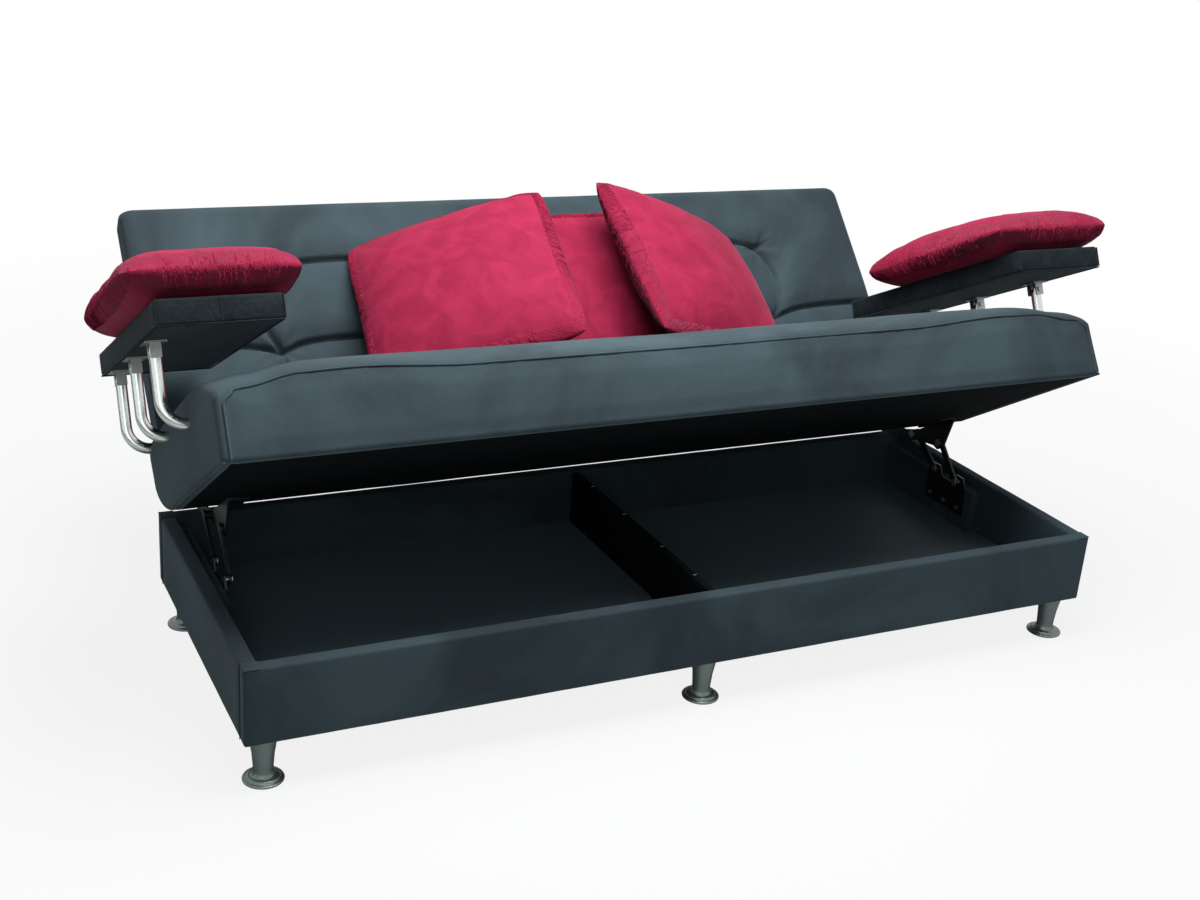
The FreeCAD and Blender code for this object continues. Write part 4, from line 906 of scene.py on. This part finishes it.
class SOFA_OT_arms(bpy.types.Operator):
    """Wrap the arm boards and bend the plated tubes."""

    bl_idname = "sofa.arms"
    bl_label = "Arms"

    def execute(self, context):
        for name, side in SIDES:
            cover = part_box("arm_cover_" + name)
            low = Vector((cover[0].x, BOARD_FRONT, BOARD_UNDER))
            high = Vector((cover[1].x, BOARD_REAR, BOARD_TOP))
            board = soft_board(low, high, 0.006, 0.001, 0.02)
            # The arm boards wear the darker copy of the slate velvet, which is painted shade
            piece("arm_board_cover_" + name, board, "seat", "velvet", ["arm_cover_" + name], ARM,
                  finish="arm_shaded_velvet")
            piece("arm_board_seams_" + name, self.seams(low, high), "seat", "velvet", (), ARM,
                  finish="arm_shaded_velvet")
            for which in TUBE_FEET:
                node = "arm_tube_%s_%s" % (which, name)
                piece("bent_" + node, self.tube(which, side), "seat", "chrome", [node], ARM)
        return {"FINISHED"}

    def seams(self, low, high):
        """Welted edges round the board's underside and up its front, and the join in the front panel."""
        radius = sizes().piping * 0.7
        loop = [(low.x + 0.003, low.y + 0.001, low.z), (high.x - 0.003, low.y + 0.001, low.z),
                (high.x - 0.001, high.y - 0.003, low.z), (low.x + 0.001, high.y - 0.003, low.z)]
        cords = [tube_along(loop, radius, closed=True)]
        for x in (low.x + 0.001, high.x - 0.001):
            cords.append(tube_along([(x, low.y + 0.001, z) for z in (low.z + 0.002, high.z - 0.003)], radius))
        middle = (low.x + high.x) / 2
        cords.append(tube_along([(middle, low.y, z) for z in (low.z + 0.003, high.z - 0.003)], radius * 0.6))
        return merged(*cords)

    def tube(self, which, side):
        """A J tube: circle drawn out sideways, spun round the bend, drawn up and notched at its top."""
        form = sizes()
        u, drop = TUBE_FEET[which]
        bottom = BOARD_UNDER - drop
        bend = form.tube_bend
        bend_x = TUBE_OUT - bend
        bm = bmesh.new()
        ring = bmesh.ops.create_circle(bm, cap_ends=False, radius=form.tube_radius, segments=28)["verts"]
        bmesh.ops.rotate(bm, verts=ring, cent=(0, 0, 0), matrix=Matrix.Rotation(math.pi / 2, 3, "Y"))
        bmesh.ops.translate(bm, verts=ring, vec=(side * TUBE_START, u, bottom))
        edges = self.draw_out(bm, list(bm.edges), Vector((side * (bend_x - TUBE_START), 0, 0)), 1)
        made = bmesh.ops.spin(bm, geom=edges + list({v for e in edges for v in e.verts}),
                              cent=(side * bend_x, u, bottom + bend), axis=(0, -side, 0),
                              angle=math.pi / 2, steps=14)
        edges = [item for item in made["geom_last"] if isinstance(item, bmesh.types.BMEdge)]
        self.draw_out(bm, edges, Vector((0, 0, TUBE_TOP - bottom - bend)), 10)
        bmesh.ops.remove_doubles(bm, verts=bm.verts, dist=1e-6)
        notch = [face for face in bm.faces
                 if face.calc_center_median().z > TUBE_TOP - NOTCH_DEPTH
                 and abs(face.calc_center_median().y - u) < form.tube_radius * 0.5]
        bmesh.ops.delete(bm, geom=notch, context="FACES")
        bmesh.ops.recalc_face_normals(bm, faces=bm.faces)
        bmesh.ops.solidify(bm, geom=bm.faces, thickness=TUBE_WALL)
        return bm

    def draw_out(self, bm, edges, run, steps):
        """Extrude a ring of edges along a run, in steps."""
        for _ in range(steps):
            made = bmesh.ops.extrude_edge_only(bm, edges=edges)["geom"]
            bmesh.ops.translate(bm, vec=run / steps,
                                verts=[item for item in made if isinstance(item, bmesh.types.BMVert)])
            edges = [item for item in made if isinstance(item, bmesh.types.BMEdge)
                     and item.is_boundary]
        return edges


# The pillows


WELT = 0.0018
# How far a case draws in between its corners and at them, and how much its grid crowds to the seam
WAIST = 0.030
CORNER = 0.062
EASE = 0.62
CELLS = 110


def stuffed(width, length, thick, blunt, seed):
    """A filled case: two crowned layers sewn round a rim that draws in between its corners.

    A higher blunt gives steeper sides and rounder corners. Puckers run in from the seam, and the
    filling lies in soft lumps.
    """
    bm = bmesh.new()
    corner = CORNER + 0.01 * (blunt - 2.4)
    for layer in (1, -1):
        patch = bmesh.new()
        bmesh.ops.create_grid(patch, x_segments=CELLS, y_segments=CELLS, size=1.0)
        for vert in patch.verts:
            a = (1 - EASE) * vert.co.x + EASE * math.sin(vert.co.x * math.pi / 2)
            b = (1 - EASE) * vert.co.y + EASE * math.sin(vert.co.y * math.pi / 2)
            pinch = corner * abs(a) ** 5 * abs(b) ** 5
            x = a * width / 2 * (1 - WAIST * (1 - b * b) * abs(a) ** 3 - pinch)
            y = b * length / 2 * (1 - WAIST * (1 - a * a) * abs(b) ** 3 - pinch)
            full = max(0.0, (1 - abs(a) ** blunt) * (1 - abs(b) ** blunt)) ** 0.56
            rim = min((1 - abs(a)) * width / 2, (1 - abs(b)) * length / 2)
            at_side = (1 - abs(a)) * width < (1 - abs(b)) * length
            along = y if at_side else x
            flank = math.copysign(2, a) if at_side else math.copysign(1, b)
            gather, fine = (noise.noise(Vector((along * run, rim * across, seed + flank + 0.3 * layer)))
                            for run, across in ((28, 9), (64, 14)))
            fade = math.exp(-rim / 0.045) * smooth_step(0, 0.010, rim)
            lump, dent = (noise.noise(Vector((x * scale, y * scale, seed * shuffle + layer)))
                          for scale, shuffle in ((6, 3.1), (15, 5.3)))
            height = thick / 2 * full + fade * (0.0036 * gather + 0.0013 * fine)
            height += full * (0.0045 * lump + 0.0014 * dent)
            sway = 0.0025 * noise.noise(Vector((along * 9, flank, seed)))
            vert.co = Vector((x, y, layer * max(height, 0.0) + sway))
        bm = merged(bm, patch)
    bmesh.ops.remove_doubles(bm, verts=bm.verts, dist=0.0004)
    return bm


def rim_of(bm, width, length):
    """The seam round a stuffed case, in order: the points where its two layers meet."""
    points = []
    for edge in bm.edges:
        if len(edge.link_faces) == 2:
            heights = [face.calc_center_median().z - (edge.verts[0].co.z + edge.verts[1].co.z) / 2
                       for face in edge.link_faces]
            outer = max(abs(edge.verts[0].co.x) / width, abs(edge.verts[0].co.y) / length)
            if heights[0] * heights[1] < 0 and outer > 0.44:
                points.append((edge.verts[0].co + edge.verts[1].co) / 2)
    return sorted(points, key=lambda p: math.atan2(p.y / length, p.x / width))


def pillow_piece(node, form, place, plane):
    """One pillow: placed, pressed flat on the plane that it lies against, with a welt on its seam."""
    width, length, thick, blunt, seed = form
    bm = stuffed(width, length, thick, blunt, seed)
    rim = [place @ point for point in rim_of(bm, width, length)]
    bmesh.ops.transform(bm, matrix=place, verts=bm.verts)
    point, normal = plane
    for vert in bm.verts:
        depth = (vert.co - point).dot(normal)
        if depth < 0:
            vert.co -= normal * depth
    made = piece(node + "_velvet", bm, node, "red_velvet", [node])
    piece(node + "_velvet_welt", tube_along(rim, WELT, closed=True), node, "red_velvet")


# The leaning pillows' turns about Z, X and their own face in degrees, their step aside and their seed
LEANS = {"left": (-50.8, 34.2, 37.8, -0.014, 1.0), "right": (41.9, 39.7, -34.6, -0.020, 2.0)}


class SOFA_OT_pillows(bpy.types.Operator):
    """Fill and place the five crimson pillows."""

    bl_idname = "sofa.pillows"
    bl_label = "Pillows"

    def execute(self, context):
        side = sizes().throw_side
        toward = BACK.to_3x3() @ Vector((0, -1, 0))
        against = (BACK @ Vector((0, -sizes().back_front - 0.0006, 0)), toward)
        upright = (shift(0.034) @ self.centre("middle_pillow") @ BACK.to_3x3().to_4x4()
                   @ shift(0, 0, 0.006) @ turn_x(90))
        pillow_piece("middle_pillow", (side + 0.040, side + 0.024, 0.124, 2.4, 3.0), upright, against)
        rise = BACK.to_3x3() @ Vector((0, 0, 0.010))
        for name, (yaw, tilt, roll, aside, seed) in LEANS.items():
            turn = (Matrix.Rotation(math.radians(yaw), 4, "Z") @ turn_x(tilt)
                    @ Matrix.Rotation(math.radians(roll), 4, "Z"))
            place = Matrix.Translation(rise) @ shift(aside) @ self.centre(name + "_pillow") @ turn
            pillow_piece(name + "_pillow", (side + 0.026, side + 0.026, 0.158, 2.2, seed), place,
                         against)
        board = (ARM @ Vector((0, 0, 0.0256)), ARM.to_3x3() @ Vector((0, 0, 1)))
        for name, way in SIDES:
            rest = ARM @ shift(way * 0.9075, 0.2606, 0.0705)
            pillow_piece("arm_pillow_" + name, (0.320, 0.520, 0.112, 4.2, 6.0 + way), rest, board)
        return {"FINISHED"}

    def centre(self, node):
        low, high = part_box(node)
        return Matrix.Translation((low + high) / 2)


class SOFA_OT_hardware(bpy.types.Operator):
    """Finish the frame's own parts: brackets, links, bolts, boards and webbing."""

    bl_idname = "sofa.hardware"
    bl_label = "Hardware"

    def execute(self, context):
        slots = {row["node"]: row["material_slot"] for row in frame["record"]["subparts"]}
        for name, part in frame["nodes"].items():
            part.data.materials.clear()
            part.data.materials.append(FINISHES[slots[name]])
            if not part.hide_render and ("link" in name or "bracket" in name):
                edge = part.modifiers.new("edge", "BEVEL")
                edge.width = 0.0006
                edge.segments = 2
        return {"FINISHED"}


# The studio


# Each lamp's place from the sofa's middle, its side in metres and its power in watts
LAMPS = {"ceiling_light": ((-0.1, -0.32, 2.1), 1.8, 108), "window_light": ((-2.2, -3.4, 1.5), 1.8, 10)}
# The camera that fits the box's corners in the photograph: its place, Y from the box's middle, and turns
CAMERA_AT = (-1.5076, -2.6847, 1.5903)
YAW, PITCH, ROLL = 0.4807, 0.3675, 0.0764
LENS, SENSOR = 47.66, 36.0


class SOFA_OT_studio(bpy.types.Operator):
    """Pale floor, soft light and the camera at the photograph's angle."""

    bl_idname = "sofa.studio"
    bl_label = "Studio"

    def execute(self, context):
        scene = bpy.context.scene
        scene.view_settings.view_transform = "Standard"
        self.floor()
        self.world(scene)
        middle = (CAD_BOX[0] + CAD_BOX[1]) / 2
        for name, (offset, side, power) in LAMPS.items():
            self.lamp(name, middle + Vector(offset), middle, side, power)
        self.camera(scene)
        return {"FINISHED"}

    def floor(self):
        bm = bmesh.new()
        bmesh.ops.create_grid(bm, x_segments=1, y_segments=1, size=14)
        floor = as_object("floor", bm)
        material, tree, output, place = new_material("pale_floor")
        path = add_node(tree, "ShaderNodeLightPath")
        matt = add_node(tree, "ShaderNodeBsdfDiffuse", {"Color": linear("#c4c8c8")})
        white = add_node(tree, "ShaderNodeEmission", {"Color": (1, 1, 1, 1), "Strength": 1.0})
        away = add_node(tree, "ShaderNodeVectorMath", {0: place}, operation="LENGTH")
        share = spread(tree, away.outputs["Value"], 1.2, 3.4, 0.86, 1.0)
        seen = add_node(tree, "ShaderNodeMath", {0: path.outputs["Is Camera Ray"], 1: share},
                        operation="MULTIPLY").outputs[0]
        mix = add_node(tree, "ShaderNodeMixShader", {0: seen, 1: matt.outputs[0], 2: white.outputs[0]})
        tree.links.new(mix.outputs[0], output.inputs["Surface"])
        floor.data.materials.append(material)

    def world(self, scene):
        world = bpy.data.worlds.new("studio")
        scene.world = world
        world.use_nodes = True
        tree = world.node_tree
        tree.nodes.clear()
        path = add_node(tree, "ShaderNodeLightPath")
        soft = add_node(tree, "ShaderNodeBackground", {"Color": (0.93, 0.97, 1, 1), "Strength": 0.22})
        white = add_node(tree, "ShaderNodeBackground", {"Color": (1, 1, 1, 1), "Strength": 1.0})
        seen = path.outputs["Is Camera Ray"]
        for ray in ("Is Glossy Ray", "Is Transmission Ray"):
            seen = add_node(tree, "ShaderNodeMath", {0: seen, 1: path.outputs[ray]},
                            operation="MAXIMUM").outputs[0]
        mix = add_node(tree, "ShaderNodeMixShader", {0: seen, 1: soft.outputs[0], 2: white.outputs[0]})
        output = add_node(tree, "ShaderNodeOutputWorld")
        tree.links.new(mix.outputs[0], output.inputs["Surface"])

    def lamp(self, name, at, target, side, power):
        data = bpy.data.lights.new(name, "AREA")
        data.size = side
        data.energy = power
        lamp = bpy.data.objects.new(name, data)
        lamp.location = at
        lamp.rotation_euler = (target - at).to_track_quat("-Z", "Y").to_euler()
        bpy.context.scene.collection.objects.link(lamp)

    def camera(self, scene):
        """The camera that fits the box's corners in the photograph, turned and tilted as found."""
        data = bpy.data.cameras.new("camera")
        data.lens = LENS
        data.sensor_width = SENSOR
        camera = bpy.data.objects.new("camera", data)
        bpy.context.scene.collection.objects.link(camera)
        ahead = Vector((math.sin(YAW) * math.cos(PITCH), math.cos(YAW) * math.cos(PITCH), -math.sin(PITCH)))
        across = Vector((math.cos(YAW), -math.sin(YAW), 0))
        up = across.cross(ahead)
        right = math.cos(ROLL) * across + math.sin(ROLL) * up
        top = -math.sin(ROLL) * across + math.cos(ROLL) * up
        turn = Matrix((right, top, -ahead)).transposed()
        box_middle = (FRONT_WALL[0].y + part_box("rear_wall")[1].y) / 2
        x, y, z = CAMERA_AT
        camera.matrix_world = shift(x, y + box_middle, z) @ turn.to_4x4()
        scene.camera = camera


class SOFA_PT_panel(bpy.types.Panel):
    """Sizes, colours and steps of the sofa's dressing."""

    bl_idname = "SOFA_PT_panel"
    bl_label = "Storage sofa"
    bl_space_type = "VIEW_3D"
    bl_region_type = "UI"
    bl_category = "Sofa"

    def draw(self, context):
        for group in (sizes(), colours()):
            for name in group.__annotations__:
                self.layout.prop(group, name)
        for step in STEPS:
            self.layout.operator(step.bl_idname)


STEPS = (SOFA_OT_box, SOFA_OT_feet, SOFA_OT_seat, SOFA_OT_back, SOFA_OT_arms, SOFA_OT_pillows,
         SOFA_OT_hardware, SOFA_OT_studio)
CLASSES = (SofaSizes, SofaColours, *STEPS, SOFA_PT_panel)


def register():
    for made in CLASSES:
        bpy.utils.register_class(made)
    bpy.types.Scene.sofa_sizes = bpy.props.PointerProperty(type=SofaSizes)
    bpy.types.Scene.sofa_colours = bpy.props.PointerProperty(type=SofaColours)


def unregister():
    del bpy.types.Scene.sofa_colours
    del bpy.types.Scene.sofa_sizes
    for made in reversed(CLASSES):
        bpy.utils.unregister_class(made)


def main():
    register()
    make_finishes()
    for step in STEPS:
        group, name = step.bl_idname.split(".")
        getattr(getattr(bpy.ops, group), name)()
    bpy.context.view_layer.update()


if __name__ == "__main__":
    main()
